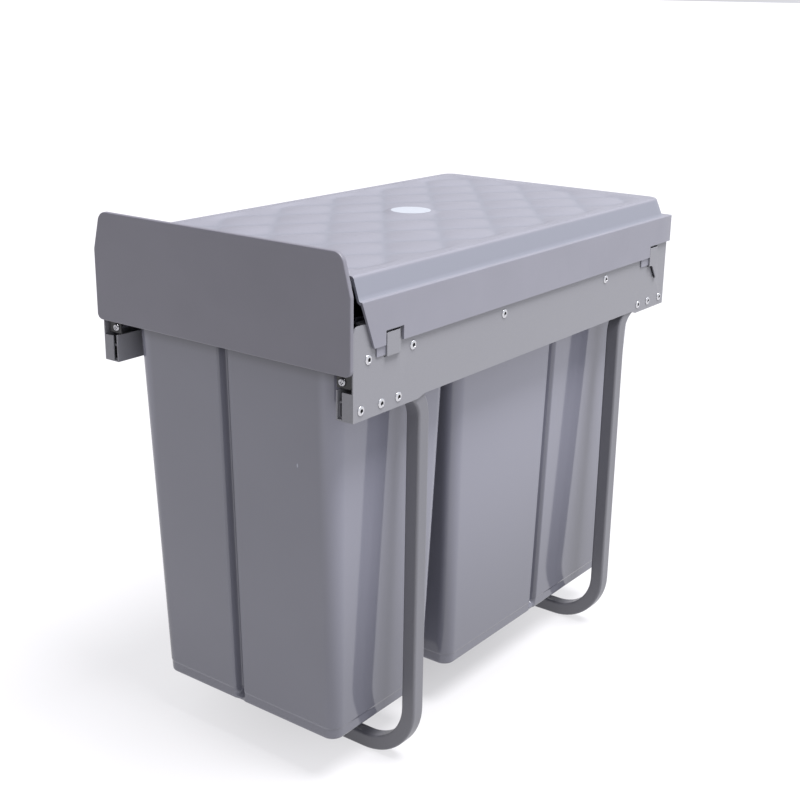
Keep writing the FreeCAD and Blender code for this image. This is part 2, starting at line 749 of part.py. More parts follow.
def lid_block(wall, low, front_shift):
    """The raised block above the ledge (wall = 0), or the hollow in it."""
    side_lean, rear_lean = shoulder / step_drop, rear_shoulder / step_drop

    def plan_at(z):
        rise = z - step_z
        half = skirt_outer - ledge - wall - side_lean * rise
        return half, lid_front_at(z) - front_shift, lid_rear - rear_ledge - wall - rear_lean * rise

    return drafted(plan_at, low, lid_top - wall, lambda point: point.y > 0, lid_corner - wall)


def lid_skirt():
    """Ledge, side walls with a notch over each hook tab, and rear wall."""
    low, notch = skirt_bottom, lid_top - rear_skirt_drop
    (_, front_root), (_, rear_root) = hook_outlines()
    front_free, rear_free = lid_notches()
    side_view = [(lid_front_at(step_z), step_z), (lid_front_at(low), low), (front_free, low),
                 (front_free, notch), (front_root + notch_gap, notch), (front_root + notch_gap, low),
                 (rear_free, low), (rear_free, notch), (lid_rear, notch), (lid_rear, step_z)]
    skirt = across(side_view, -skirt_outer, skirt_outer)
    return skirt.cut(box(-skirt_inner, skirt_inner, panel_face, lid_rear - lid_wall,
                         low - overshoot, step_z - lid_wall))


def lid_notches():
    """Y of the skirt's edge before the free end of each hook tab."""
    return plate_front + front_hook[0] - notch_gap, plate_rear - rear_hook[0] - rear_notch_gap


def lid_front_lip():
    """The leaning strip under the front edge of the top."""
    high, low = lid_top - lid_wall / 2, lid_top - lid_lip
    strip = [(lid_front_at(high), high), (lid_front_at(high) + lid_wall, high),
             (lid_front_at(low) + lid_wall, low), (lid_front_at(low), low)]
    half = skirt_outer - ledge - shoulder - lid_lip_inset
    return across(strip, -half, half)


def lid_ribs():
    first, last = plate_front + rib_end, plate_rear - rib_end
    pitch = (last - first) / (rib_count - 1)
    places = [first + i * pitch for i in range(rib_count)]
    return [box(skirt_inner - rib_width, skirt_inner + fuse_depth, y - rib_thickness / 2,
                y + rib_thickness / 2, plate_top, step_z - lid_wall + fuse_depth) for y in places]


def lid_tongues():
    """Thin tongues on the skirt that reach in behind the two hook tabs of a plate."""
    (_, front_root), (_, rear_root) = hook_outlines()
    front_free, rear_free = lid_notches()
    x0, x1 = plate_outer + tongue_play, half_width - sheet - tongue_play
    top = plate_top - hook_below_edge
    low = top - hook_height + tongue_edge
    spans = ((front_free - tongue_hold, front_root), (rear_free - rear_tongue_hold, rear_root))
    return [box(x0, x1, y0, root - hook_ramp - tongue_edge, low, top - tongue_top_edge)
            for y0, root in spans]


def between_pillows(drop):
    """What lies above the quilted field of the top: pillows are low pyramids, seams run askew.

    Middles and corners of pillows take turns on a grid of half pillows. The corners lie lower,
    except on the edge of the field. drop = 0 is the lid's outside.
    """
    half = skirt_outer - ledge - shoulder - quilt_side_border
    y0, y1 = lid_front + quilt_end_border, lid_rear - rear_ledge - rear_shoulder - quilt_end_border
    columns, rows = 2 * quilt_columns, 2 * quilt_rows

    def spot(i, j):
        sunk = (i + j) % 2 and 0 < i < columns and 0 < j < rows
        x, y = half * (2 * i / columns - 1), y0 + (y1 - y0) * j / rows
        return V(x, y, lid_top - drop - (quilt_depth if sunk else 0))

    loops = []
    for i in range(columns):
        for j in range(rows):
            a, b, c, d = spot(i, j), spot(i + 1, j), spot(i + 1, j + 1), spot(i, j + 1)
            loops += [[a, c, b], [a, d, c]] if (i + j) % 2 else [[a, d, b], [b, d, c]]
    across_field, along_field = range(columns + 1), range(rows + 1)
    edges = [[spot(i, 0) for i in across_field], [spot(columns, j) for j in along_field],
             [spot(i, rows) for i in reversed(across_field)], [spot(0, j) for j in reversed(along_field)]]
    up = V(0, 0, overshoot)
    loops += [edge + [edge[-1] + up, edge[0] + up] for edge in edges]
    return closed(loops + [[edge[0] + up for edge in edges]])


def lid():
    block = lid_block(0, step_z - lid_wall, 0)
    edge = [e for e in block.Edges if e.BoundBox.ZMin > lid_top - 1e-6 and e.BoundBox.YMax > lid_front + 1]
    block = block.makeChamfer(lid_edge, edge).cut(between_pillows(0))
    hollow = lid_block(lid_wall, step_z - 2 * lid_wall, lid_rear).cut(between_pillows(lid_wall))
    shell = fuse([lid_skirt(), block]).cut(hollow)
    sides = lid_ribs() + lid_tongues()
    return fuse([shell, lid_front_lip()] + sides + [mirror(s) for s in sides])


# ---- build ----------------------------------------------------------------------------------
def main():
    os.makedirs("parts", exist_ok=True)
    save_pair("side_plate", side_plate())
    slide_group, leg_group = rivet_groups()
    save_pair("slide_rivets", slide_group)
    save_pair("leg_rivets", leg_group)
    save("leg_front", leg(front_leg_y, plate_front + sheet + tube_end_gap, -1))
    save("leg_rear", leg(rear_leg_y, plate_rear - tube_end_gap, 1))

    outer, middle, inner = slide_members()
    save_pair("slide_outer", outer)
    save_pair("slide_middle", middle)
    save_pair("slide_inner", inner)
    save_pair("slide_stop", slide_stop())
    cage, balls = ball_cage(cage_outer_web, outer_ball_x, outer_ball_z)
    save_pair("ball_cage_outer", cage)
    save_pair("balls_outer", balls)
    cage, balls = ball_cage(cage_inner_web, inner_ball_x, inner_ball_z)
    save_pair("ball_cage_inner", cage)
    save_pair("balls_inner", balls)

    save_pair("carriage_rail", carriage_rail())
    for name, bar in zip(("front_bar", "centre_bar", "rear_bar"), cross_bars()):
        save("carriage_" + name, bar)
    save_pair("panel_bracket", panel_bracket())
    save_pair("rail_screws", rail_screw_group())
    save_pair("bracket_rivets", bracket_rivet_group())
    save_pair("door_screw", door_screw())
    save("panel_screws", panel_screw_group())
    save("front_panel", front_panel())

    front, rear = bins()
    save("front_bin", front)
    save("rear_bin", rear)
    save("lid", lid())


main()
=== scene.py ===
# %% [markdown]
# # A pull-out waste unit
# Two painted side plates stand on two bent square tubes and carry a quilted lid. A carriage on
# ball-bearing slides brings out a front panel and two glossy bins. The construction is finished and
# fixed: this lesson gives it the surfaces that the eye sees. Sizes are in millimetres, and X runs
# across the unit, its front faces -Y and Z is up.

# %% Load the construction
import json
import math

import bmesh
import bpy
import numpy as np
from mathutils import Matrix, Vector

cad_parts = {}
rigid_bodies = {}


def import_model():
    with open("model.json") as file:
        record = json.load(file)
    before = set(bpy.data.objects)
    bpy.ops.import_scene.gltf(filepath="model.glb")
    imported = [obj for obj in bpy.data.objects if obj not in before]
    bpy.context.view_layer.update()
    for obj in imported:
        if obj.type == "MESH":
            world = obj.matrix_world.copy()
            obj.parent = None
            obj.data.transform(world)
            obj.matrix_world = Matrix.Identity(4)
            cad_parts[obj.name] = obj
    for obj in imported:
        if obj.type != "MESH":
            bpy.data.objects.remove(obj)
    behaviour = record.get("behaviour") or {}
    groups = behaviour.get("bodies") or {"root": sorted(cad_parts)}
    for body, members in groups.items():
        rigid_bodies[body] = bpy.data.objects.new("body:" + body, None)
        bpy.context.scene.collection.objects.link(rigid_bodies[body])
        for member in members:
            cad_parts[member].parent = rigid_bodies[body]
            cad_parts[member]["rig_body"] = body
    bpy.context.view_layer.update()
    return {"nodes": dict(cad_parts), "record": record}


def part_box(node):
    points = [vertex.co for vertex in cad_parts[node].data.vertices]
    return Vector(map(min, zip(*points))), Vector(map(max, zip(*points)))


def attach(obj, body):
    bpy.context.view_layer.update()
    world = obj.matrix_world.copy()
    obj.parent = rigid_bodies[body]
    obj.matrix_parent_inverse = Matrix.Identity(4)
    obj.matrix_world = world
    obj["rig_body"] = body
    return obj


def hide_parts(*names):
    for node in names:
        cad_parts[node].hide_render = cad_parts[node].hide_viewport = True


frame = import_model()
mm = 0.001
body_of = {name: node["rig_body"] for name, node in frame["nodes"].items()}
slot_of = {part["node"]: part["material_slot"] for part in frame["record"]["subparts"]}


def corners_of(node):
    """Lowest and highest corner of a node, in millimetres."""
    low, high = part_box(node)
    return np.array(low) / mm, np.array(high) / mm


# %% [markdown]
# ## Camera
# The photograph was taken from the front right, a little above the lid. Its camera was worked out from
# the corners of the unit, whose real sizes are known: where it stood, how far it was turned and tipped,
# and how long its lens is. No lens shift is needed.

# %% Camera
photo_width = 800                      # pixels
focal_length = 1297.8                  # pixels
camera_place = (661.8, -892.4, 605.8)
camera_turn = math.radians(36.93)      # to the left of straight ahead
camera_tip = math.radians(17.79)       # down
camera_roll = math.radians(0.84)

ahead = np.array([-math.sin(camera_turn) * math.cos(camera_tip),
                  math.cos(camera_turn) * math.cos(camera_tip), -math.sin(camera_tip)])
level_right = np.array([math.cos(camera_turn), math.sin(camera_turn), 0.0])
level_up = np.cross(level_right, ahead)
right = math.cos(camera_roll) * level_right + math.sin(camera_roll) * level_up
up = math.cos(camera_roll) * level_up - math.sin(camera_roll) * level_right

camera = bpy.data.objects.new("camera", bpy.data.cameras.new("camera"))
bpy.context.scene.collection.objects.link(camera)
turned_to = Matrix([[*axis] for axis in zip(right, up, -ahead)]).to_4x4()
camera.matrix_world = Matrix.Translation(Vector(camera_place) * mm) @ turned_to
camera.data.sensor_width = 36.0
camera.data.lens = focal_length / photo_width * camera.data.sensor_width
camera.data.clip_end = 400.0
bpy.context.scene.camera = camera
print("lens", round(camera.data.lens, 1), "mm")

# %% [markdown]
# ## Shader sums
# A finish is easier to read as a sum than as a web of boxes. A Wire is one output of a shader tree,
# and adding or multiplying wires adds Math nodes. Every other node comes from Tree.node: its kind, its
# settings, and the value or the wire for each of its sockets.

# %% Wires and trees
class Wire:
    """One output of a shader tree. Arithmetic on wires adds Math nodes."""

    def __init__(self, tree, socket):
        self.tree = tree
        self.socket = socket

    def sum(self, operation, *values):
        return self.tree.node("Math", {"operation": operation}, dict(enumerate(values)))

    def __add__(self, other):
        return self.sum("ADD", self, other)

    def __mul__(self, other):
        return self.sum("MULTIPLY", self, other)

    def __sub__(self, other):
        return self.sum("SUBTRACT", self, other)

    def __rsub__(self, other):
        return self.sum("SUBTRACT", other, self)

    __radd__ = __add__
    __rmul__ = __mul__

    def rise(self, low, high):
        """0 below low, 1 above high, and a smooth slope between."""
        return self.tree.node("MapRange", {"interpolation_type": "SMOOTHSTEP"},
                              {"Value": self, "From Min": low, "From Max": high})


class Tree:
    """A shader tree that is filled node by node."""

    def __init__(self, owner):
        owner.use_nodes = True
        self.tree = owner.node_tree
        self.tree.nodes.clear()

    def node(self, kind, settings, sockets, output=0):
        made = self.tree.nodes.new("ShaderNode" + kind)
        for name, value in settings.items():
            setattr(made, name, value)
        for name, value in sockets.items():
            if isinstance(value, Wire):
                self.tree.links.new(value.socket, made.inputs[name])
            else:
                made.inputs[name].default_value = value
        return Wire(self, made.outputs[output]) if made.outputs else None

    def place(self, stretch=(1, 1, 1)):
        """Object coordinates in millimetres; stretch > 1 packs the pattern closer along an axis."""
        spot = self.node("TexCoord", {}, {}, output="Object")
        return self.node("VectorMath", {"operation": "MULTIPLY"},
                         {0: spot, 1: [s / mm for s in stretch]})

    def noise(self, size, detail=2.0, stretch=(1, 1, 1)):
        """Smooth noise from 0 to 1 with lumps of that size in millimetres."""
        return self.node("TexNoise", {}, {"Vector": self.place(stretch), "Scale": 1 / size,
                                          "Detail": detail})

    def tint(self, share, low, high):
        """The colour low where share is 0 and high where it is 1. Either may be a wire."""
        low, high = (colour if isinstance(colour, Wire) else (*colour, 1) for colour in (low, high))
        return self.node("Mix", {"data_type": "RGBA"}, {0: share, 6: low, 7: high}, output=2)

    def along(self, axis):
        """The place along an axis, in millimetres."""
        return self.node("SeparateXYZ", {}, {0: self.place()}, output=axis)

    def bump(self, height, depth):
        """A normal from a height of 0 to 1, depth in millimetres."""
        return self.node("Bump", {}, {"Height": height, "Distance": depth * mm})


def shade(colour, factor):
    """The colour with each channel multiplied by the factor."""
    return tuple(channel * factor for channel in colour)


def new_finish(name, paint):
    """A material whose Principled shader takes its sockets from paint(tree)."""
    material = bpy.data.materials.new(name)
    tree = Tree(material)
    surface = tree.node("BsdfPrincipled", {}, paint(tree))
    tree.node("OutputMaterial", {}, {"Surface": surface})
    return material


# %% [markdown]
# ## Moulded plastic
# The lid and the panel come out of a spark-eroded mould: a fine dull grain. The bins come out of a
# polished one, so they mirror the legs beside them, and a slight waviness of the wall makes those
# mirror images swim. A few pale scuffs show wear from handling. Light and shade are painted into the
# bins' colour: their flanks are lighter than their fronts and grow lighter with height, and their
# fronts carry a painted shadow close under the panel. The lid's sloping shoulder carries painted shade.

# %% Plastics
panel_foot = corners_of("front_panel")[0][2]
# heights on the bins' fronts over which the painted shadow under the panel fades in
painted_shadow_heights = (panel_foot - 15, panel_foot - 1)
painted_shadow_front = (-220, -212)            # behind this along Y the painted shadow under the panel has faded
lit_flank_starts = (84, 93)                # the flanks, painted lighter than the fronts, lie beyond this across X
lit_flank_heights = (20, 300)              # their painted light grows between these heights


def satin_plastic(colour, roughness, grain_depth, painted_shade_band=(0, 0), painted_shade_factor=(1, 1, 1)):
    """Between two given heights the colour is multiplied by a factor: painted shade, used on the lid's
    sloping shoulder.
    """
    def paint(tree):
        shaded_colour = tuple(a * b for a, b in zip(colour, painted_shade_factor))
        height = tree.along("Z")
        # painted shade between the two heights
        inside = height.rise(painted_shade_band[0], painted_shade_band[0] + 0.8) * (1 - height.rise(painted_shade_band[1] - 1.5, painted_shade_band[1]))
        grain = tree.noise(0.8, detail=3.0)
        cloud = tree.noise(70.0)
        smear = tree.noise(26.0, detail=4.0).rise(0.45, 0.75)
        base = tree.tint(cloud.rise(0.25, 0.75), shade(colour, 0.97), shade(colour, 1.03))
        return {"Base Color": tree.tint(inside, base, shaded_colour),
                "Roughness": roughness + (grain - 0.5) * 0.08 + smear * 0.05,
                "Normal": tree.bump(grain, grain_depth)}
    return paint


def gloss_plastic(colour, roughness):
    def paint(tree):
        cloud = tree.noise(90.0)
        cells = tree.node("TexVoronoi", {}, {"Vector": tree.place((1, 1, 0.45)), "Scale": 1 / 34.0})
        nick = (1 - cells.rise(0.015, 0.035)) * tree.noise(60.0).rise(0.56, 0.6)
        wave = tree.noise(110.0, detail=0.0, stretch=(1, 1, 0.5))
        grain = tree.noise(1.3, detail=2.0)
        height = tree.along("Z")
        # painted shadow: the bins' fronts are darkened just under the panel
        painted_panel_shadow = height.rise(*painted_shadow_heights) * (1 - tree.along("Y").rise(*painted_shadow_front))
        # painted light and shade: the fronts get a shaded copy of the colour, the flanks a lit copy that
        # grows lighter with height
        across = tree.along("X")
        lit_flank_share = across.sum("ABSOLUTE", across).rise(*lit_flank_starts)
        shaded_front_tone = tree.tint(cloud.rise(0.25, 0.75), shade(colour, 0.90), shade(colour, 0.94))
        lit_flank_tone = tree.tint(height.rise(*lit_flank_heights), shade(colour, 0.66), shade(colour, 1.24))
        # real pale scuffs, laid over the painted light and shade of flanks and fronts
        scuffed_and_lit = tree.tint(nick * 0.7, tree.tint(lit_flank_share, shaded_front_tone, lit_flank_tone), shade(colour, 1.9))
        # the painted shadow under the panel darkens the colour to 0.3 of itself
        return {"Base Color": tree.tint(painted_panel_shadow * 0.85, scuffed_and_lit, shade(colour, 0.3)),
                "Roughness": roughness + (cloud - 0.5) * 0.03 + nick * 0.3,
                "IOR": 1.6,
                "Normal": tree.bump(wave + grain * 0.006, 0.4)}
    return paint


# %% [markdown]
# ## Metal finishes
# Powder coat flows out into a faint orange peel. Zinc on rolled steel is streaked along the slide by
# the rollers. Rivets, screws and balls are bright steel, and the buffer is soft black rubber.

# %% Metals and rubber
def powder_coat(colour, roughness):
    def paint(tree):
        peel = tree.noise(1.6, detail=2.0)
        fleck = tree.noise(0.5, detail=0.0)
        cloud = tree.noise(45.0, detail=3.0)
        return {"Base Color": tree.tint(fleck.rise(0.3, 0.7), shade(colour, 0.965), shade(colour, 1.035)),
                "Roughness": roughness + (cloud - 0.5) * 0.1,
                "Normal": tree.bump(peel, 0.035)}
    return paint


def bright_steel(colour, roughness, streak=(1, 1, 1)):
    def paint(tree):
        line = tree.noise(0.7, detail=3.0, stretch=streak)
        cloud = tree.noise(18.0, detail=2.0)
        return {"Base Color": tree.tint(cloud.rise(0.3, 0.7), shade(colour, 0.9), colour),
                "Metallic": 1.0,
                "Roughness": roughness + (line - 0.5) * 0.16 + (cloud - 0.5) * 0.06,
                "Normal": tree.bump(line, 0.012)}
    return paint


def soft_rubber(tree):
    grain = tree.noise(0.6, detail=3.0)
    return {"Base Color": tree.tint(grain, (0.016, 0.016, 0.017), (0.026, 0.026, 0.027)),
            "Roughness": 0.72 + (grain - 0.5) * 0.1,
            "Normal": tree.bump(grain, 0.05)}


def vinyl(tree):
    """The bare pale disc on the lid: a smooth film with a faint ripple."""
    ripple = tree.noise(9.0, detail=1.0)
    return {"Base Color": tree.tint(ripple, (0.35, 0.375, 0.42), (0.385, 0.405, 0.445)),
            "Roughness": 0.3 + ripple * 0.08,
            "Normal": tree.bump(ripple, 0.03)}


def blind_rivet(tree):
    """Bright steel, duller where the pin has broken off, with painted shade that makes the pit near black;
    the attribute pit is 1 there.
    """
    line = tree.noise(0.6, detail=3.0)
    pit = tree.node("Attribute", {"attribute_name": "pit"}, {}, output="Fac")
    # painted shade: the pit's base colour is near black
    return {"Base Color": tree.tint(pit, (0.60, 0.60, 0.62), (0.03, 0.03, 0.032)),
            "Metallic": 1 - pit * 0.6,
            "Roughness": 0.24 + (line - 0.5) * 0.2 + pit * 0.3,
            "Normal": tree.bump(line, 0.02)}


along_slide = (1, 0.03, 1)
finishes = {
    "painted_plate": new_finish("plate_powder_coat", powder_coat((0.190, 0.190, 0.207), 0.42)),
    "painted_tube": new_finish("tube_powder_coat", powder_coat((0.130, 0.130, 0.145), 0.34)),
    "painted_rail": new_finish("rail_powder_coat", powder_coat((0.150, 0.150, 0.163), 0.42)),
    "black_bracket": new_finish("black_powder_coat", powder_coat((0.012, 0.012, 0.013), 0.38)),
    "zinc_steel": new_finish("bright_zinc", bright_steel((0.60, 0.61, 0.64), 0.30, along_slide)),
    "ball_steel": new_finish("ball_steel", bright_steel((0.80, 0.81, 0.83), 0.14)),
    "rivet_steel": new_finish("rivet_steel", blind_rivet),
    "screw_steel": new_finish("screw_steel", bright_steel((0.42, 0.42, 0.44), 0.22)),
    "rubber": new_finish("black_rubber", soft_rubber),
    # the panel's grey is set darker than the lid's: painted shade on its front, which the key does not
    # reach
    "panel_plastic": new_finish("panel_moulding", satin_plastic((0.151, 0.148, 0.174), 0.40, 0.02)),
    # the lid's sloping shoulder, between 401 and 417 mm, gets painted shade
    "lid_plastic": new_finish("lid_moulding", satin_plastic((0.196, 0.195, 0.228), 0.44, 0.02,
                                                            (401, 417), (0.88, 0.915, 0.93))),
    "bin_plastic": new_finish("bin_moulding", gloss_plastic((0.163, 0.164, 0.198), 0.08)),
}
disc_finish = new_finish("pale_vinyl", vinyl)
for name, node in frame["nodes"].items():
    for holder in node.material_slots:
        holder.material = finishes[slot_of[name]]
print(len(finishes) + 1, "finishes")

# %% [markdown]
# ## Light and floor
# The unit stands on a wide pale floor in soft light. A broad key from high on the right makes the lid
# bright and the right side middling, and the surroundings are dimmer in front, so that the front faces
# stay dark as in the photograph.

# %% Floor, key and surroundings
floor_size = 120.0                     # metres
floor_albedo, floor_glow = 0.17, 0.74    # the floor glows like a light table, so shadows stay faint
paper_colour = (0.985, 0.978, 1.0)
key_towards = Vector((0.36, 0.08, 0.93)).normalized()
key_strength = 5.4
key_spread = math.radians(26.0)
dim_side, bright_side = 0.05, 1.12     # brightness of the surroundings in front and behind right

bpy.context.scene.view_settings.view_transform = "Standard"

floor_mesh = bpy.data.meshes.new("floor")
half_floor = floor_size / 2
floor_mesh.from_pydata([(-half_floor, -half_floor, 0), (half_floor, -half_floor, 0),
                        (half_floor, half_floor, 0), (-half_floor, half_floor, 0)], [], [(0, 1, 2, 3)])
floor = bpy.data.objects.new("floor", floor_mesh)
bpy.context.scene.collection.objects.link(floor)


def paper(tree):
    """Pale paper that glows; under the unit its glow is lowered, a painted shadow."""
    tone = tree.noise(900.0)
    place = tree.place((1 / 170.0, 1 / 300.0, 0))
    away = tree.node("VectorMath", {"operation": "LENGTH"}, {0: place}, output="Value")
    # painted shadow: the glow drops to 0.7 of itself under the unit
    glow = away.rise(0.1, 0.9) * 0.3 + 0.7
    return {"Base Color": tree.tint(tone, shade(paper_colour, floor_albedo * 0.99),
                                    shade(paper_colour, floor_albedo)),
            "Roughness": 0.9,
            "Specular IOR Level": 0.0,
            "Emission Color": tree.tint(glow, (0, 0, 0), paper_colour),
            "Emission Strength": floor_glow}


floor_mesh.materials.append(new_finish("pale_floor", paper))

key = bpy.data.objects.new("key", bpy.data.lights.new("key", "SUN"))
bpy.context.scene.collection.objects.link(key)
key.data.energy = key_strength
key.data.angle = key_spread
key.data.color = (1.0, 0.99, 1.0)
key.rotation_euler = key_towards.to_track_quat("Z", "Y").to_euler()

world = bpy.data.worlds.new("surroundings")
bpy.context.scene.world = world
sky = Tree(world)
heading = sky.node("TexCoord", {}, {}, output="Generated")
facing = sky.node("VectorMath", {"operation": "DOT_PRODUCT"},
                  {0: heading, 1: Vector((0.62, 0.50, 0.65)).normalized()}, output="Value")
glow = facing.rise(-0.55, 0.75) * (bright_side - dim_side) + dim_side
hue = sky.tint(facing.rise(-0.4, 0.6), (1.0, 0.955, 1.0), (0.94, 0.965, 1.03))
light = sky.node("Background", {}, {"Color": hue, "Strength": glow})
sky.node("OutputWorld", {}, {"Surface": light})
print("key", round(math.degrees(math.asin(key_towards.z))), "degrees up")

# %% [markdown]
# ## Surfaces from numbers
# Each new piece is a skin: rows of points, worked out as whole arrays, with a face between every four
# neighbours. Points that fall together are welded, and the skin is turned so that it faces outward.

# %% Skins
def grid_faces(rows, columns, loop_rows=False, loop_columns=True):
    """Faces of a grid of points that are numbered row by row."""
    row = np.arange(rows if loop_rows else rows - 1)[:, None]
    column = np.arange(columns if loop_columns else columns - 1)[None, :]
    next_row, next_column = (row + 1) % rows * columns, (column + 1) % columns
    row = row * columns
    return np.stack([row + column, row + next_column, next_row + next_column, next_row + column],
                    axis=-1).reshape(-1, 4).tolist()


def skin(rings, caps=True, loop_rows=False):
    """A skin through rings of points: (rings, points in a ring, 3). Caps close the two ends."""
    rows, columns = rings.shape[:2]
    faces = grid_faces(rows, columns, loop_rows)
    if caps and not loop_rows:
        faces += [list(range(columns))[::-1], list(range((rows - 1) * columns, rows * columns))]
    return rings.reshape(-1, 3), faces


def welded(points, faces):
    """The skin as a bmesh in metres, welded, and turned over if it encloses a negative volume."""
    mesh = bpy.data.meshes.new("skin")
    mesh.from_pydata((points * mm).tolist(), [], faces)
    work = bmesh.new()
    work.from_mesh(mesh)
    bpy.data.meshes.remove(mesh)
    bmesh.ops.remove_doubles(work, verts=work.verts, dist=1e-6)
    if work.calc_volume(signed=True) < 0:
        bmesh.ops.reverse_faces(work, faces=work.faces)
    return work


def piece_mesh(name, skins, crease=35.0):
    """One mesh from several skins, smooth except over edges sharper than crease degrees."""
    mesh = bpy.data.meshes.new(name)
    whole = bmesh.new()
    for points, faces in skins:
        work = welded(points, faces)
        work.to_mesh(mesh)
        work.free()
        whole.from_mesh(mesh)
    whole.to_mesh(mesh)
    whole.free()
    mesh.polygons.foreach_set("use_smooth", np.ones(len(mesh.polygons), bool))
    mesh.set_sharp_from_angle(angle=math.radians(crease))
    return mesh


def add_piece(mesh, nodes, finish=None):
    """Puts the mesh into the scene in place of the nodes, on their body and with their finish."""
    slot = slot_of[nodes[0]]
    piece = bpy.data.objects.new(mesh.name, mesh)
    bpy.context.scene.collection.objects.link(piece)
    mesh.materials.clear()
    mesh.materials.append(finish or finishes[slot])
    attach(piece, body_of[nodes[0]])
    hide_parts(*nodes)
    print(mesh.name, len(mesh.polygons), "faces")
    return piece


# %% [markdown]
# ## Outlines
# A moulded or folded outline is a polygon with its corners rounded. For each corner, the arc starts
# before the corner and turns with it, and the direction that points out of the shape comes along,
# because an outline that is moved in or out by the same amount all round is what makes a rounded edge.

# %% Rounded outlines
def rounded(corners, radii, steps, rest=0.0):
    """Points of a polygon with round corners, and the outward direction at each point.

    Along an arc the heading turns steadily from the side before the corner to the side after it,
    and the arc starts radius * tan(half the turn) before the corner. One more point lies rest
    before each arc and one after it, so that the shading is level again right beside the arc.
    """
    corners, radii = np.asarray(corners, float), np.asarray(radii, float)[:, None]
    into = corners - np.roll(corners, 1, axis=0)
    into /= np.linalg.norm(into, axis=1, keepdims=True)
    out = np.roll(into, -1, axis=0)
    left = np.stack([-into[:, 1], into[:, 0]], axis=1)
    turn = np.arctan2((out * left).sum(1), (out * into).sum(1))[:, None]
    start = corners - into * radii * np.tan(np.abs(turn) / 2)
    share, slip = np.linspace(0, 1, steps + 1), np.zeros(steps + 1)
    if rest:
        share, slip = np.pad(share, 1, mode="edge"), np.pad(slip, 1, constant_values=(-rest, rest))
    angle = (np.abs(turn) * share)[..., None]
    side = np.sign(turn)[..., None]
    into, left, radius = into[:, None], left[:, None], radii[..., None]
    heading = np.cos(angle) * into + side * np.sin(angle) * left
    points = start[:, None] + radius * (np.sin(angle) * into + side * (1 - np.cos(angle)) * left)
    points = points + slip[:, None] * heading
    outward = np.stack([heading[..., 1], -heading[..., 0]], axis=-1)
    return points.reshape(-1, 2), outward.reshape(-1, 2)


def quarter(radius, steps):
    """A rounded edge from a wall to a face: (in from the wall, down from the face) per step."""
    angle = np.linspace(0, math.pi / 2, steps + 1)
    return np.stack([radius * (1 - np.cos(angle)), radius * (1 - np.sin(angle))], axis=1)


def turned(profile, base, axis, sides=32, press=None):
    """A turned skin: profile = (way along the axis, radius) from end to end.

    press(a, b, way) may push points back along the axis, as a recess in a screw's head does.
    """
    profile, axis = np.asarray(profile, float), np.asarray(axis, float)
    aside = np.array([0.0, 0, 1]) if abs(axis[2]) < 0.5 else np.array([1.0, 0, 0])
    beside = np.cross(axis, aside)
    angle = np.arange(sides) * 2 * math.pi / sides
    a, b = profile[:, 1, None] * np.cos(angle), profile[:, 1, None] * np.sin(angle)
    way = np.broadcast_to(profile[:, 0, None], a.shape)
    if press:
        way = way - press(a, b, way)
    across = a[..., None] * aside + b[..., None] * beside
    return skin(np.asarray(base, float) + way[..., None] * axis + across, caps=False)


# %% [markdown]
# ## Front panel
# A flat moulding with tapered upper corners. Its front edge is rounded, which gives the thin bright
# line all round it in the photograph. Four bosses behind it take the screws of the brackets.

# %% Front panel
panel_low, panel_high = corners_of("front_panel")
panel_wall = 3.6
panel_top_inset = 8.0                  # the top edge is this much shorter at each end
panel_taper = 30.0
panel_radii = (5.0, 6.0, 9.0)          # lower corner, kink, upper corner
panel_front_edge, panel_back_edge = 0.9, 0.4
boss_radius = 4.6
boss_levels = (357.0, 391.0)
boss_x = 117.35

wide = panel_high[0]
half_outline = [(wide, panel_low[2]), (wide, panel_high[2] - panel_taper),
                (wide - panel_top_inset, panel_high[2])]
outline = half_outline + [(-x, z) for x, z in reversed(half_outline)]
spots, outward = rounded(outline, panel_radii + panel_radii[::-1], steps=10, rest=0.6)
panel_back = panel_low[1] + panel_wall
back_edge = quarter(panel_back_edge, 3)[::-1]
front_edge = quarter(panel_front_edge, 5)
levels = [(panel_back_edge + 0.6, panel_back)]
levels += [(inset, panel_back - drop) for inset, drop in back_edge]
levels += [(inset, panel_low[1] + drop) for inset, drop in front_edge]
levels += [(panel_front_edge + 0.6, panel_low[1])]
rings = [np.insert(spots - outward * inset, 1, y, axis=1) for inset, y in levels]
bosses = [turned([(-0.2, boss_radius + 0.8), (0.3, boss_radius + 0.15), (0.8, boss_radius),
                  (3.7, boss_radius - 0.1), (4.0, boss_radius - 0.4), (4.0, 0.0)],
                 (side * boss_x, panel_back, z), (0, 1, 0)) for side in (-1, 1) for z in boss_levels]
add_piece(piece_mesh("front_panel_moulding", [skin(np.array(rings))] + bosses), ["front_panel"])

# %% [markdown]
# ## Legs
# Each leg is one square tube, bent four times. Its section, a small rounded square with a bore, is
# carried along the path. Outer and inner skin run on into each other at the two open ends. The bends
# at the floor are wider than those under the plates, and two screw holes go through the bar there.

# %% Legs
tube = 12.7
tube_wall = 1.2
tube_corner = 1.8
bend_radius, floor_bend_radius = 25.0, 45.0
tube_x, tube_z = 120.05, 323.55
floor_hole_radius, floor_hole_x = 2.5, 60.0
bend_steps = 16
bend_rest = 1.0                        # one more ring this far before and after each bend
legs = (("leg_front", -149.2, -233.6), ("leg_rear", 159.3, 236.3))    # node, Y of the bar, Y of the ends


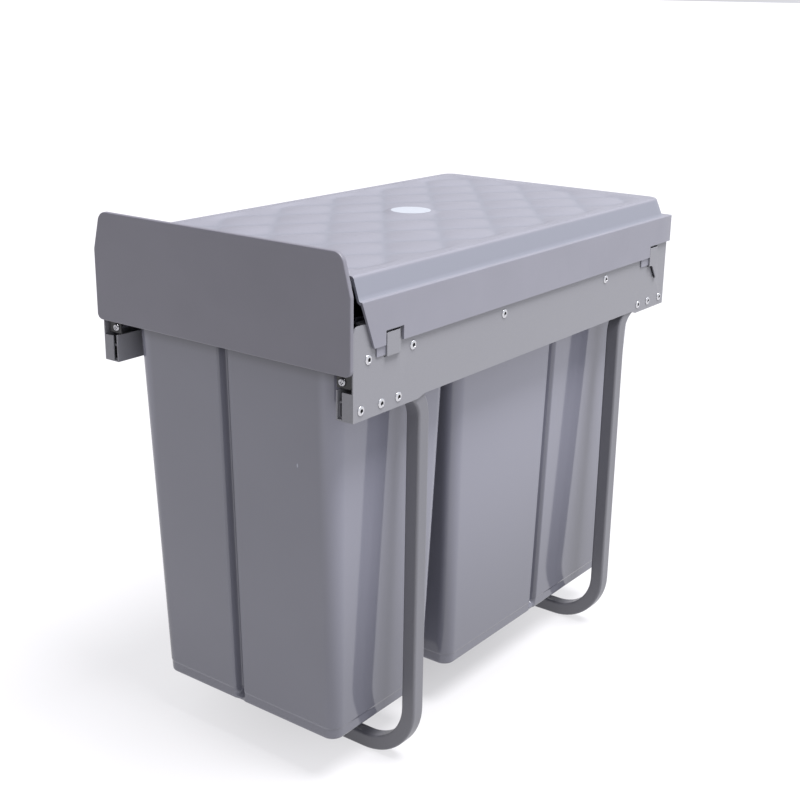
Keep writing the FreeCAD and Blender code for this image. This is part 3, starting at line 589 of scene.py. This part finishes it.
def bent_leg(middle_y, end_y):
    """Rings of points along the tube, for its outside and for its bore.

    Straight runs need two rings. In a bend the place is centre + radius * (cos * from + sin * to),
    and the section's axis that points away from the centre turns with it. Half a leg is worked out,
    and the other half is the same rings with x turned over.
    """
    back = np.sign(end_y - middle_y)
    x_axis, y_axis, z_axis = np.eye(3)
    turn = np.linspace(0, math.pi / 2, bend_steps + 1)[:, None]
    turn = np.pad(turn, ((1, 1), (0, 0)), mode="edge")
    slip = np.zeros_like(turn)
    slip[[0, -1], 0] = -bend_rest, bend_rest
    upper_centre = np.array([tube_x, middle_y + back * bend_radius, tube_z - bend_radius])
    upper_arm = np.cos(turn) * z_axis - back * np.sin(turn) * y_axis
    upper_way = -np.sin(turn) * z_axis - back * np.cos(turn) * y_axis
    lower_centre = np.array([tube_x - floor_bend_radius, middle_y, tube / 2 + floor_bend_radius])
    lower_arm = np.cos(turn) * x_axis - np.sin(turn) * z_axis
    lower_way = -np.sin(turn) * x_axis - np.cos(turn) * z_axis
    path = np.concatenate([[(tube_x, end_y, tube_z)],
                           upper_centre + bend_radius * upper_arm + slip * upper_way,
                           lower_centre + floor_bend_radius * lower_arm + slip * lower_way,
                           [(0, middle_y, tube / 2)]])
    flat = np.ones_like(turn)
    first = np.concatenate([[x_axis], flat * x_axis, lower_arm, [-z_axis]])
    second = np.concatenate([[z_axis], upper_arm, flat * -back * y_axis, [-back * y_axis]])
    skins = []
    for half, corner in ((tube / 2, tube_corner), (tube / 2 - tube_wall, tube_corner - tube_wall)):
        square = [(-half, -half), (half, -half), (half, half), (-half, half)]
        section, _ = rounded(square, [corner] * 4, steps=4, rest=0.3)
        ring = path[:, None] + section[:, :1] * first[:, None] + section[:, 1:] * second[:, None]
        other = ring[::-1][1:] * (-1, 1, 1)
        skins.append(np.concatenate([ring, other]))
    return np.concatenate([skins[0], skins[1][::-1]])


# %% Holes, and the legs as pieces
def drill(mesh, holes):
    """Cuts turned holes through a mesh and returns the result as a new mesh."""
    work = bpy.data.objects.new("work", mesh)
    tool = bpy.data.objects.new("tool", piece_mesh("tool", holes))
    for thing in (work, tool):
        bpy.context.scene.collection.objects.link(thing)
    cut = work.modifiers.new("holes", "BOOLEAN")
    cut.operation = "DIFFERENCE"
    cut.object = tool
    drilled = bpy.data.meshes.new_from_object(work.evaluated_get(bpy.context.evaluated_depsgraph_get()))
    for thing in (work, tool):
        bpy.data.objects.remove(thing)
    drilled.name = mesh.name
    return drilled


for node, middle_y, end_y in legs:
    leg = piece_mesh(node + "_tube", [skin(bent_leg(middle_y, end_y), loop_rows=True)])
    holes = [turned([(0, 0), (0, floor_hole_radius), (tube + 2, floor_hole_radius), (tube + 2, 0)],
                    (side * floor_hole_x, middle_y, -1), (0, 0, 1)) for side in (-1, 1)]
    add_piece(drill(leg, holes), [node])

# %% [markdown]
# ## Bins
# A bin is one moulding: underside, foot, leaning walls with a flute, rim with a raised lip, and the
# same again inside. Here it is one skin of rings, each a rounded rectangle at its own height. A flute
# pushes the points of a wall inward where they are close to its middle, and runs out in the foot.

# %% Bin rings
bin_floor, rim_z, rim_thickness, rim_lip = 40.0, 378.2, 2.5, 6.0
bin_half_width, bin_corner, bin_wall = 104.0, 11.0, 2.0
bin_lean = 10.0 / (rim_z - bin_floor)
foot_height, foot_inset, foot_edge = 10.0, 0.5, 2.5
rim_half_width, rim_corner, lip_wall = 110.2, 14.0, 1.6
flute_half_width, flute_half_floor, flute_depth = 6.2, 2.0, 6.8
flute_end, flute_run_out = 0.12, 5.8   # share of its depth left at the foot, gained over this height
inside_spread = 1.0                    # a flute is this much wider each side on the inside
floor_fillet = 4.0                     # radius between the inside of the walls and the floor
flute_x = -8.0                         # middle of the front bin's flutes
corner_steps = 10
coarse = np.array([0, 0.006, 0.12, 0.25, 0.38, 0.5, 0.62, 0.75, 0.88, 0.994, 1])
fine = np.linspace(-8, 8, 41)          # millimetres each side of a flute


def plan_ring(x, y0, y1, corner, shares):
    """A rounded rectangle, anticlockwise from the front left: points, outward, and side number.

    shares = for each side, how far along its straight part each of its points lies (0 to 1).
    """
    spots, outward = rounded([(x, y0), (x, y1), (-x, y1), (-x, y0)], [corner] * 4, corner_steps)
    arcs, ways = spots.reshape(4, -1, 2), outward.reshape(4, -1, 2)
    points, normals, sides = [], [], []
    for side in range(4):
        start, end, share = arcs[side - 1][-1], arcs[side][0], shares[side][:, None]
        points += [start + (end - start) * share, arcs[side][1:-1]]
        normals += [np.repeat(ways[side][:1], len(share), axis=0), ways[side][1:-1]]
        sides += [np.full(len(share), side), np.full(corner_steps - 1, -1)]
    return np.concatenate(points), np.concatenate(normals), np.concatenate(sides)


def flute_shares(length, middle):
    """Shares along a side: evenly spaced, and close together about a flute at that distance."""
    close = (middle + fine) / length
    far = coarse[(coarse < close[0]) | (coarse > close[-1])]
    return np.sort(np.concatenate([far, close]))


# %% The skin of a bin
def bin_skin(y0, y1, rim_y0, rim_y1, flutes):
    """Rings from the middle of the underside, up the outside, over the rim, and down to the floor.

    flutes = {side number: middle of the flute along that side}; sides 0 and 2 run along X, 1 and 3
    along Y. The wall at height z lies lean * (rim height - z) inside its place at the rim.
    """
    inner_x, inner_y0, inner_y1 = bin_half_width - bin_corner, y0 + bin_corner, y1 - bin_corner
    starts = (-inner_x, inner_y0, inner_x, inner_y1)
    signs = (1, 1, -1, -1)
    lengths = (2 * inner_x, inner_y1 - inner_y0) * 2
    shares = [flute_shares(lengths[s], signs[s] * (flutes[s] - starts[s])) if s in flutes else coarse
              for s in range(4)]

    def wall_ring(inset, z, depth=1.0, spread=0.0):
        total = inset + bin_lean * (rim_z - z)
        points, outward, side = plan_ring(bin_half_width - total, y0 + total, y1 - total,
                                          max(bin_corner - inset, 1.0), shares)
        press = np.zeros(len(points))
        for number, middle in flutes.items():
            away = np.abs(points[:, number % 2] - middle)
            edge = (flute_half_width + spread - away) / (flute_half_width - flute_half_floor)
            edge = np.clip(edge, 0, 1)
            press += (side == number) * edge * edge * (3 - 2 * edge) * flute_depth * depth
        return np.insert(points - outward * press[:, None], 2, z, axis=1)

    def rim_ring(inset, z):
        points, _, _ = plan_ring(rim_half_width - inset, rim_y0 + inset, rim_y1 - inset,
                                 rim_corner - inset, shares)
        return np.insert(points, 2, z, axis=1)

    foot_z, top = bin_floor + foot_height, rim_z + rim_thickness
    rings = [wall_ring(foot_inset + inset, bin_floor + drop, flute_end)
             for inset, drop in quarter(foot_edge, 5)[::-1]]
    rings += [wall_ring(foot_inset, bin_floor + foot_edge + 0.4 + rise * flute_run_out,
                        flute_end + (1 - flute_end) * rise * rise * (3 - 2 * rise))
              for rise in np.linspace(0, 1, 7)]
    rings += [wall_ring(foot_inset, foot_z - 0.4), wall_ring(foot_inset * 0.8, foot_z),
              wall_ring(foot_inset * 0.2, foot_z + 0.6), wall_ring(0, foot_z + 1.0),
              wall_ring(0, foot_z + 1.4)]
    rings += [wall_ring(0, z) for z in np.linspace(foot_z + 5, rim_z - 12, 8)]
    rings += [wall_ring(0, rim_z - 8, 0.9), wall_ring(0, rim_z - 4, 0.4), wall_ring(0, rim_z - 1, 0),
              wall_ring(-0.3, rim_z - 0.25, 0), wall_ring(-1.0, rim_z, 0)]
    rings += [rim_ring(0.4, rim_z), rim_ring(0.1, rim_z + 0.15), rim_ring(0, rim_z + 0.5),
              rim_ring(0, rim_z + rim_lip - 0.6), rim_ring(0.2, rim_z + rim_lip - 0.15),
              rim_ring(0.6, rim_z + rim_lip), rim_ring(lip_wall - 0.5, rim_z + rim_lip),
              rim_ring(lip_wall - 0.1, rim_z + rim_lip - 0.2), rim_ring(lip_wall, rim_z + rim_lip - 0.6),
              rim_ring(lip_wall, top + 0.8), rim_ring(lip_wall + 0.2, top + 0.25),
              rim_ring(lip_wall + 0.8, top)]
    rings += [wall_ring(bin_wall - 0.8, top, 0), wall_ring(bin_wall - 0.2, top - 0.25, 0),
              wall_ring(bin_wall, top - 0.8, 0)]
    rings += [wall_ring(bin_wall, z, depth, inside_spread)
              for z, depth in ((rim_z - 4, 0.4), (rim_z - 8, 0.9))]
    rings += [wall_ring(bin_wall, z, 1, inside_spread) for z in np.linspace(rim_z - 12, bin_floor + 12, 8)]
    rings += [wall_ring(bin_wall + inset, bin_floor + bin_wall + drop, 1, inside_spread)
              for inset, drop in quarter(floor_fillet, 5)]
    return skin(np.array(rings))


# %% Front bin and rear bin
front_wall, rear_wall = -225.5, 227.0  # outside of the walls at the rim
front_depth, bins_gap = 141.0, 11.0
front_low, front_high = corners_of("front_bin")
rear_low, rear_high = corners_of("rear_bin")
rear_front = front_wall + front_depth + bins_gap
front_skin = bin_skin(front_wall, front_wall + front_depth, front_low[1], front_high[1],
                      {0: flute_x, 2: flute_x})
rear_middle = (rear_front + rear_wall) / 2
rear_skin = bin_skin(rear_front, rear_wall, rear_low[1], rear_high[1], {1: rear_middle, 3: rear_middle})
add_piece(piece_mesh("front_bin_moulding", [front_skin], crease=50.0), ["front_bin"])
add_piece(piece_mesh("rear_bin_moulding", [rear_skin], crease=50.0), ["rear_bin"])

# %% [markdown]
# ## Lid
# The lid is a thin moulding. Its quilted top is a height over a plan: pillows lie on a grid of
# diamonds, each swelling from its seams, and the swelling fades out towards a flat border and round a
# level spot for the disc. The sides are U-shaped rows of points that run from the front end round the
# rear and back. All rows share the same places along the unit, so top and sides meet point by point,
# and every place is pushed back to the front end. The wall gets its thickness inward afterwards.

# %% Quilting
lid_top, step_z, lid_rear = 418.0, 401.0, 240.0
skirt_bottom, rear_skirt_bottom = 366.0, 376.5
skirt_x, block_x, crown_x = 129.9, 127.3, 121.7
block_rear, crown_rear = 232.0, 228.0
lid_wall, lid_corner, skirt_corner = 2.0, 10.0, 1.5
front_end, front_slant = -228.4, 0.40   # the front end is upright above the step and slanted below it
field_x, field_front, field_rear = 114.0, -219.0, 214.0
pillow_columns, pillow_rows = 4, 6
quilt_depth, seam_width, pillow_bulge = 2.1, 0.0015, 0.75
border_fade, disc_margin, disc_fade = 9.0, 1.0, 5.0    # the quilting fades out over these widths
disc_x, disc_y, disc_radius, disc_lift = -10.0, 13.0, 17.5, 0.14
crown_edge = 2.5                       # radius of the upper edge


def quilt_height(x, y):
    """Height of the top: quilt_depth lower in the seams, level in the border and on the pillows.

    With s and t counting diagonals, seams lie where s or t is halfway between whole numbers, so
    |cos(pi s) cos(pi t)| is 1 in the middle of a pillow and 0 along its seams. seam_width rounds
    the seams a little, and a power of pillow_bulge below 1 makes the pillows fuller.
    """
    a = (x + field_x) / (field_x / pillow_columns)
    b = (y - field_front) / ((field_rear - field_front) / (2 * pillow_rows))
    s, t = (a + b) / 2, (a - b) / 2
    swell = np.sqrt(np.cos(math.pi * s) ** 2 * np.cos(math.pi * t) ** 2 + seam_width) ** pillow_bulge
    inside = np.minimum(np.minimum(field_x - np.abs(x), y - field_front), field_rear - y)
    pad = np.hypot(x - disc_x, y - disc_y) - disc_radius - disc_margin
    fade = np.clip(np.minimum(inside / border_fade, pad / disc_fade), 0, 1)
    fade = fade * fade * (3 - 2 * fade)
    return lid_top - quilt_depth * fade * (1 - np.minimum(swell, 1))


# %% Places along the lid
notches = (-201.5, -181.0, 199.2)      # the skirt is cut away between the first two and behind the last
corner_rows = 4                        # rows, and as many columns, that go round each rear corner
straight_rows, straight_columns = 170, 92
top_inset = 7.5                        # the top's grid ends this far inside its edge, within the corners


def front_at(z):
    """Where the front end lies at a height: upright above the step and slanted below it."""
    return front_end + front_slant * max(step_z - z, 0.0)


side_y = np.linspace(front_end, crown_rear - lid_corner - 1.0, straight_rows)
side_y = np.sort(np.concatenate([side_y, notches, notches]))
field_edge = crown_x - top_inset
near_corner = np.linspace(0, 1, corner_rows + 1)[1:]
rows_y = np.concatenate([side_y, side_y[-1] + (crown_rear - top_inset - side_y[-1]) * near_corner])
inner_x = crown_x - lid_corner - 1.0
columns_x = np.linspace(-inner_x, inner_x, straight_columns)
columns_x = np.concatenate([-(inner_x + (field_edge - inner_x) * near_corner[::-1]), columns_x,
                            inner_x + (field_edge - inner_x) * near_corner])


def u_row(x, rear, corner, z):
    """A U-shaped row of points at height z: up the left side, round the rear, and down the right."""
    straight = np.stack([np.full(len(side_y), -x), np.maximum(side_y, front_at(z))], axis=1)
    straight[:, 1] = np.minimum(straight[:, 1], rear - corner)
    turn = np.linspace(0, math.pi / 2, 2 * corner_rows + 1)[1:-1, None]
    arc = np.concatenate([-x + corner * (1 - np.cos(turn)), rear - corner * (1 - np.sin(turn))], axis=1)
    span = (x - corner) / inner_x
    back = np.stack([columns_x[corner_rows:-corner_rows] * span,
                     np.full(straight_columns, rear)], axis=1)
    left = np.concatenate([straight, arc, back])
    mirrored = np.concatenate([arc[::-1], straight[::-1]]) * (-1, 1)
    return np.insert(np.concatenate([left, mirrored]), 2, z, axis=1)


# %% Top and sides of the lid
def lid_skins():
    """The outside of the lid: the top as one grid, and the sides as rows from the top down."""
    x, y = np.meshgrid(columns_x, rows_y)
    top = np.stack([x, y, quilt_height(x, y)], axis=-1)
    top_faces = grid_faces(*x.shape, loop_columns=False)
    border = np.concatenate([top[:, 0], top[-1, 1:-1], top[::-1, -1]])
    lean = math.atan2(lid_top - step_z, block_x - crown_x)
    rear_share = (block_rear - crown_rear) / (block_x - crown_x)
    reach = crown_edge * math.tan(lean / 2)
    inset = reach + 0.4
    rows = [border, u_row(crown_x - inset, crown_rear - inset * rear_share, lid_corner, lid_top)]
    for turn in np.linspace(0, lean, 9):
        out = crown_x - reach + crown_edge * math.sin(turn)
        drop = crown_edge * (1 - math.cos(turn))
        rows.append(u_row(out, crown_rear + (out - crown_x) * rear_share, lid_corner, lid_top - drop))
    for share in (0.2, 0.5, 0.8, 0.95):
        out = crown_x + (block_x - crown_x) * share
        z = lid_top - (lid_top - step_z) * share
        rows.append(u_row(out, crown_rear + (block_rear - crown_rear) * share, lid_corner, z))
    rows += [u_row(block_x + 0.1, block_rear + 0.1, lid_corner, step_z + 0.6),
             u_row(block_x + 0.4, block_rear + 0.4, lid_corner, step_z + 0.15),
             u_row(block_x + 0.9, block_rear + 1.0, lid_corner, step_z),
             u_row(skirt_x - 0.9, lid_rear - 2.0, skirt_corner + 3.0, step_z),
             u_row(skirt_x - 0.6, lid_rear - 0.6, skirt_corner, step_z),
             u_row(skirt_x - 0.3, lid_rear - 0.3, skirt_corner, step_z - 0.08),
             u_row(skirt_x - 0.08, lid_rear - 0.08, skirt_corner, step_z - 0.3),
             u_row(skirt_x, lid_rear, skirt_corner, step_z - 0.6),
             u_row(skirt_x, lid_rear, skirt_corner, step_z - 1.0),
             u_row(skirt_x, lid_rear, skirt_corner, (step_z + rear_skirt_bottom) / 2),
             u_row(skirt_x, lid_rear, skirt_corner, rear_skirt_bottom + 0.5),
             u_row(skirt_x, lid_rear, skirt_corner, rear_skirt_bottom)]
    low = u_row(skirt_x, lid_rear, skirt_corner, skirt_bottom)
    order = np.arange(len(side_y))
    cut = (order > np.searchsorted(side_y, notches[0])) & (order <= np.searchsorted(side_y, notches[1]))
    cut |= order > np.searchsorted(side_y, notches[2])
    high = np.concatenate([cut, np.ones(len(low) - 2 * len(cut), bool), cut[::-1]])
    rows.append(np.where(high[:, None], rows[-1], low))
    sides = np.array(rows)
    side_faces = grid_faces(*sides.shape[:2], loop_columns=False)
    shift = top.shape[0] * top.shape[1]
    points = np.concatenate([top.reshape(-1, 3), sides.reshape(-1, 3)])
    return points, top_faces + [[i + shift for i in face] for face in side_faces]


lid = add_piece(piece_mesh("lid_moulding", [lid_skins()], crease=50.0), ["lid"])
wall = lid.modifiers.new("wall", "SOLIDIFY")
wall.thickness = lid_wall * mm
wall.offset = -1.0
edges = lid.modifiers.new("edges", "BEVEL")
edges.width = 0.35 * mm
edges.segments = 2
edges.angle_limit = math.radians(50)
edges.harden_normals = True

# %% [markdown]
# ## What is moulded inside the lid
# Ribs rest on the folded edge of the side plates, thin tongues reach in behind the hook tabs, and a
# slanted lip stiffens the front edge.

# %% Ribs, tongues and lip
def block(x0, x1, y0, y1, z0, z1, slant=0.0):
    """A small block; slant moves its lower edge back."""
    low = [(x0, y0 + slant, z0), (x1, y0 + slant, z0), (x1, y1 + slant, z0), (x0, y1 + slant, z0)]
    high = [(x0, y0, z1), (x1, y0, z1), (x1, y1, z1), (x0, y1, z1)]
    return skin(np.array([low, high], float))


plate_low, plate_high = corners_of("side_plate_right")
rib_x, rib_thickness, rib_end, rib_count = (118.7, 128.2), 2.0, 45.0, 4
tongue_x, tongue_z = (127.8, 128.6), (358.5, 372.5)
tongue_y = ((-210.5, -187.0), (185.2, 213.0))
lip_half, lip_top, lip_bottom, lip_back = 120.2, 416.6, 409.0, 2.0

moulded = []
for side in (-1, 1):
    for y in np.linspace(plate_low[1] + rib_end, plate_high[1] - rib_end, rib_count):
        x0, x1 = sorted(side * x for x in rib_x)
        moulded.append(block(x0, x1, y - rib_thickness / 2, y + rib_thickness / 2, plate_high[2],
                             step_z - lid_wall + 0.2))
    for y0, y1 in tongue_y:
        x0, x1 = sorted(side * x for x in tongue_x)
        moulded.append(block(x0, x1, y0, y1, *tongue_z))
lip_y = front_at(lip_top)
moulded.append(block(-lip_half, lip_half, lip_y, lip_y + lip_back, lip_bottom, lip_top,
                     slant=front_at(lip_bottom) - lip_y))
ribs = add_piece(piece_mesh("lid_ribs", moulded), ["lid"])
soften = ribs.modifiers.new("edges", "BEVEL")
soften.width = 0.25 * mm
soften.segments = 2

# %% [markdown]
# ## Disc on the lid
# A thin round film lies on a level spot in the quilting, bare and pale.

# %% Pale disc
ring_radii = np.array([0, 3, 6, 9, 12, 14.5, 16.5, 17.2, disc_radius, disc_radius])
angle = np.linspace(0, 2 * math.pi, 96, endpoint=False)
x = disc_x + ring_radii[:, None] * np.cos(angle)
y = disc_y + ring_radii[:, None] * np.sin(angle)
lift = np.full(len(ring_radii), disc_lift)
lift[-2:] = (disc_lift * 0.7, -0.05)
rings = np.stack([x, y, quilt_height(x, y) + lift[:, None]], axis=-1)
add_piece(piece_mesh("lid_disc", [skin(rings, caps=False)], crease=60.0), ["lid"], disc_finish)

# %% [markdown]
# ## Rivets and screws
# A blind rivet shows a flat dome with a pit in the middle, where its pin broke off; the pit's dark colour
# is painted shade. The screws have a pan head with a cross-shaped recess. All of them are turned from a
# profile.

# %% Rivets
hook_stand = 2.4                       # the hook tabs stand this far off the plate
rivet_x = plate_high[0] - hook_stand   # outside of the plate
pit_radius = 1.5
rivet_profile = [(-2.4, 0), (-2.4, 2.0), (0, 2.0), (0, 3.45), (0.08, 3.62), (0.25, 3.68), (0.42, 3.6),
                 (0.66, 3.25), (0.88, 2.75), (1.02, 2.3), (1.08, 1.95), (1.05, 1.75), (0.95, 1.6),
                 (0.75, pit_radius), (-0.5, 1.4), (-0.75, 1.2), (-0.3, 0.75), (-0.25, 0.0)]
slide_rivet_y = (-218.5, -167.0, -46.0, 119.0)
leg_rivet_y = (-226.7, -203.7, -183.7, 185.2, 205.2, 228.2)
slide_z = 358.7


def mark_pits(mesh, places, z):
    """The attribute pit: 1 at points nearer to a rivet's axis than the pit's radius, else 0."""
    points = np.zeros(len(mesh.vertices) * 3)
    mesh.vertices.foreach_get("co", points)
    points = points.reshape(-1, 3) / mm
    away = np.hypot(points[:, 1, None] - np.array(places), points[:, 2, None] - z).min(axis=1)
    pit = mesh.attributes.new("pit", "FLOAT", "POINT")
    pit.data.foreach_set("value", (away < pit_radius + 0.02).astype(np.float32))


for side, sign in (("right", 1), ("left", -1)):
    for kind, places, z in (("slide", slide_rivet_y, slide_z), ("leg", leg_rivet_y, tube_z)):
        heads = [turned(rivet_profile, (sign * rivet_x, y, z), (sign, 0, 0)) for y in places]
        node = kind + "_rivets_" + side
        mesh = piece_mesh(node + "_turned", heads, crease=60.0)
        mark_pits(mesh, places, z)
        add_piece(mesh, [node])


# %% Screws
def cross_recess(a, b, way):
    """How deep a cross is pressed into a head: full depth in its two arms, with sloping walls."""
    narrow, far = np.minimum(np.abs(a), np.abs(b)), np.maximum(np.abs(a), np.abs(b))
    arm = np.clip((0.62 - narrow) / 0.25, 0, 1) * np.clip((1.75 - far) / 0.35, 0, 1)
    return arm * 0.85 * (way > 0.5)


def pan_head(spot, into, length, press=cross_recess):
    """A pan-head screw: its head lies on spot, and its shank runs along the unit vector into."""
    head = [(-length, 0), (-length, 1.3), (-length + 0.4, 1.6), (0, 1.6), (0, 3.05), (0.12, 3.2),
            (0.4, 3.2), (0.85, 3.0), (1.2, 2.65), (1.4, 2.25)]
    cap = [(1.4 + 0.1 * (1 - (r / 2.25) ** 2), r) for r in np.linspace(2.25, 0, 10)[1:]]
    return turned(head + cap, spot, [-v for v in into], sides=48, press=press)


no_recess = None
rail_x, bracket_x = 112.2, 110.7
boss_face, bracket_face = -232.4, -230.9
rail_screw_y = (-180.0, 0.0, 180.0)
arm_rivet_y, arm_rivet_z = (-216.9, -203.9), 360.7
door_x, door_z = 115.85, 343.6
for side, sign in (("right", 1), ("left", -1)):
    into = (sign, 0, 0)
    groups = (("rail_screws", [pan_head((sign * rail_x, y, slide_z), into, 2.7) for y in rail_screw_y]),
              ("bracket_rivets", [pan_head((sign * bracket_x, y, arm_rivet_z), into, 3.0, no_recess)
                                  for y in arm_rivet_y]),
              ("door_screw", [pan_head((sign * door_x, boss_face, door_z), (0, 1, 0), 2.5)]))
    for kind, skins in groups:
        node = kind + "_" + side
        add_piece(piece_mesh(node + "_turned", skins, crease=60.0), [node])
skins = [pan_head((side * boss_x, bracket_face, z), (0, -1, 0), 7.3)
         for side in (-1, 1) for z in boss_levels]
add_piece(piece_mesh("panel_screws_turned", skins, crease=60.0), ["panel_screws"])

# %% [markdown]
# ## Ball rows
# Each cage of the slides carries two rows of balls. There are many, so each ball has few faces.

# %% Balls
ball_radius, ball_pitch = 1.8, 9.0
ball_angles = np.linspace(0, math.pi, 7)
ball_profile = np.stack([-ball_radius * np.cos(ball_angles), ball_radius * np.sin(ball_angles)], axis=1)
for row, x, rise in (("outer", 119.75, 14.45), ("inner", 118.75, 9.55)):
    for side, sign in (("right", 1), ("left", -1)):
        cage_low, cage_high = corners_of("ball_cage_%s_%s" % (row, side))
        places = np.arange(cage_low[1] + ball_pitch / 2, cage_high[1], ball_pitch)
        skins = [turned(ball_profile, (sign * x, y, slide_z + z), (0, 0, 1), sides=10)
                 for y in places for z in (-rise, rise)]
        node = "balls_%s_%s" % (row, side)
        add_piece(piece_mesh(node + "_row", skins), [node])

# %% [markdown]
# ## Sheet metal
# The side plates, rails, brackets, bars and slides are right as they are, but a real folded or rolled
# part has no knife edges. A copy of each is welded, its flat faces are joined up, and a narrow bevel
# gives every edge its small highlight.

# %% Softened copies
def softened(node, width):
    """A welded copy of a node in its place, with a bevel of that width in millimetres."""
    work = bmesh.new()
    work.from_mesh(frame["nodes"][node].data)
    bmesh.ops.remove_doubles(work, verts=work.verts, dist=1e-6)
    bmesh.ops.dissolve_limit(work, angle_limit=math.radians(1), verts=work.verts, edges=work.edges)
    mesh = bpy.data.meshes.new(node + "_softened")
    work.to_mesh(mesh)
    work.free()
    mesh.polygons.foreach_set("use_smooth", np.ones(len(mesh.polygons), bool))
    mesh.set_sharp_from_angle(angle=math.radians(35))
    piece = add_piece(mesh, [node])
    bevel = piece.modifiers.new("edges", "BEVEL")
    bevel.width = width * mm
    bevel.segments = 2
    bevel.limit_method = "ANGLE"
    bevel.angle_limit = math.radians(40)
    bevel.harden_normals = True


for side in ("left", "right"):
    for kind, width in (("side_plate", 0.3), ("carriage_rail", 0.4), ("panel_bracket", 0.3),
                        ("slide_outer", 0.35), ("slide_middle", 0.35), ("slide_inner", 0.35),
                        ("slide_stop", 0.8)):
        softened(kind + "_" + side, width)
for place in ("front", "centre", "rear"):
    softened("carriage_%s_bar" % place, 0.4)
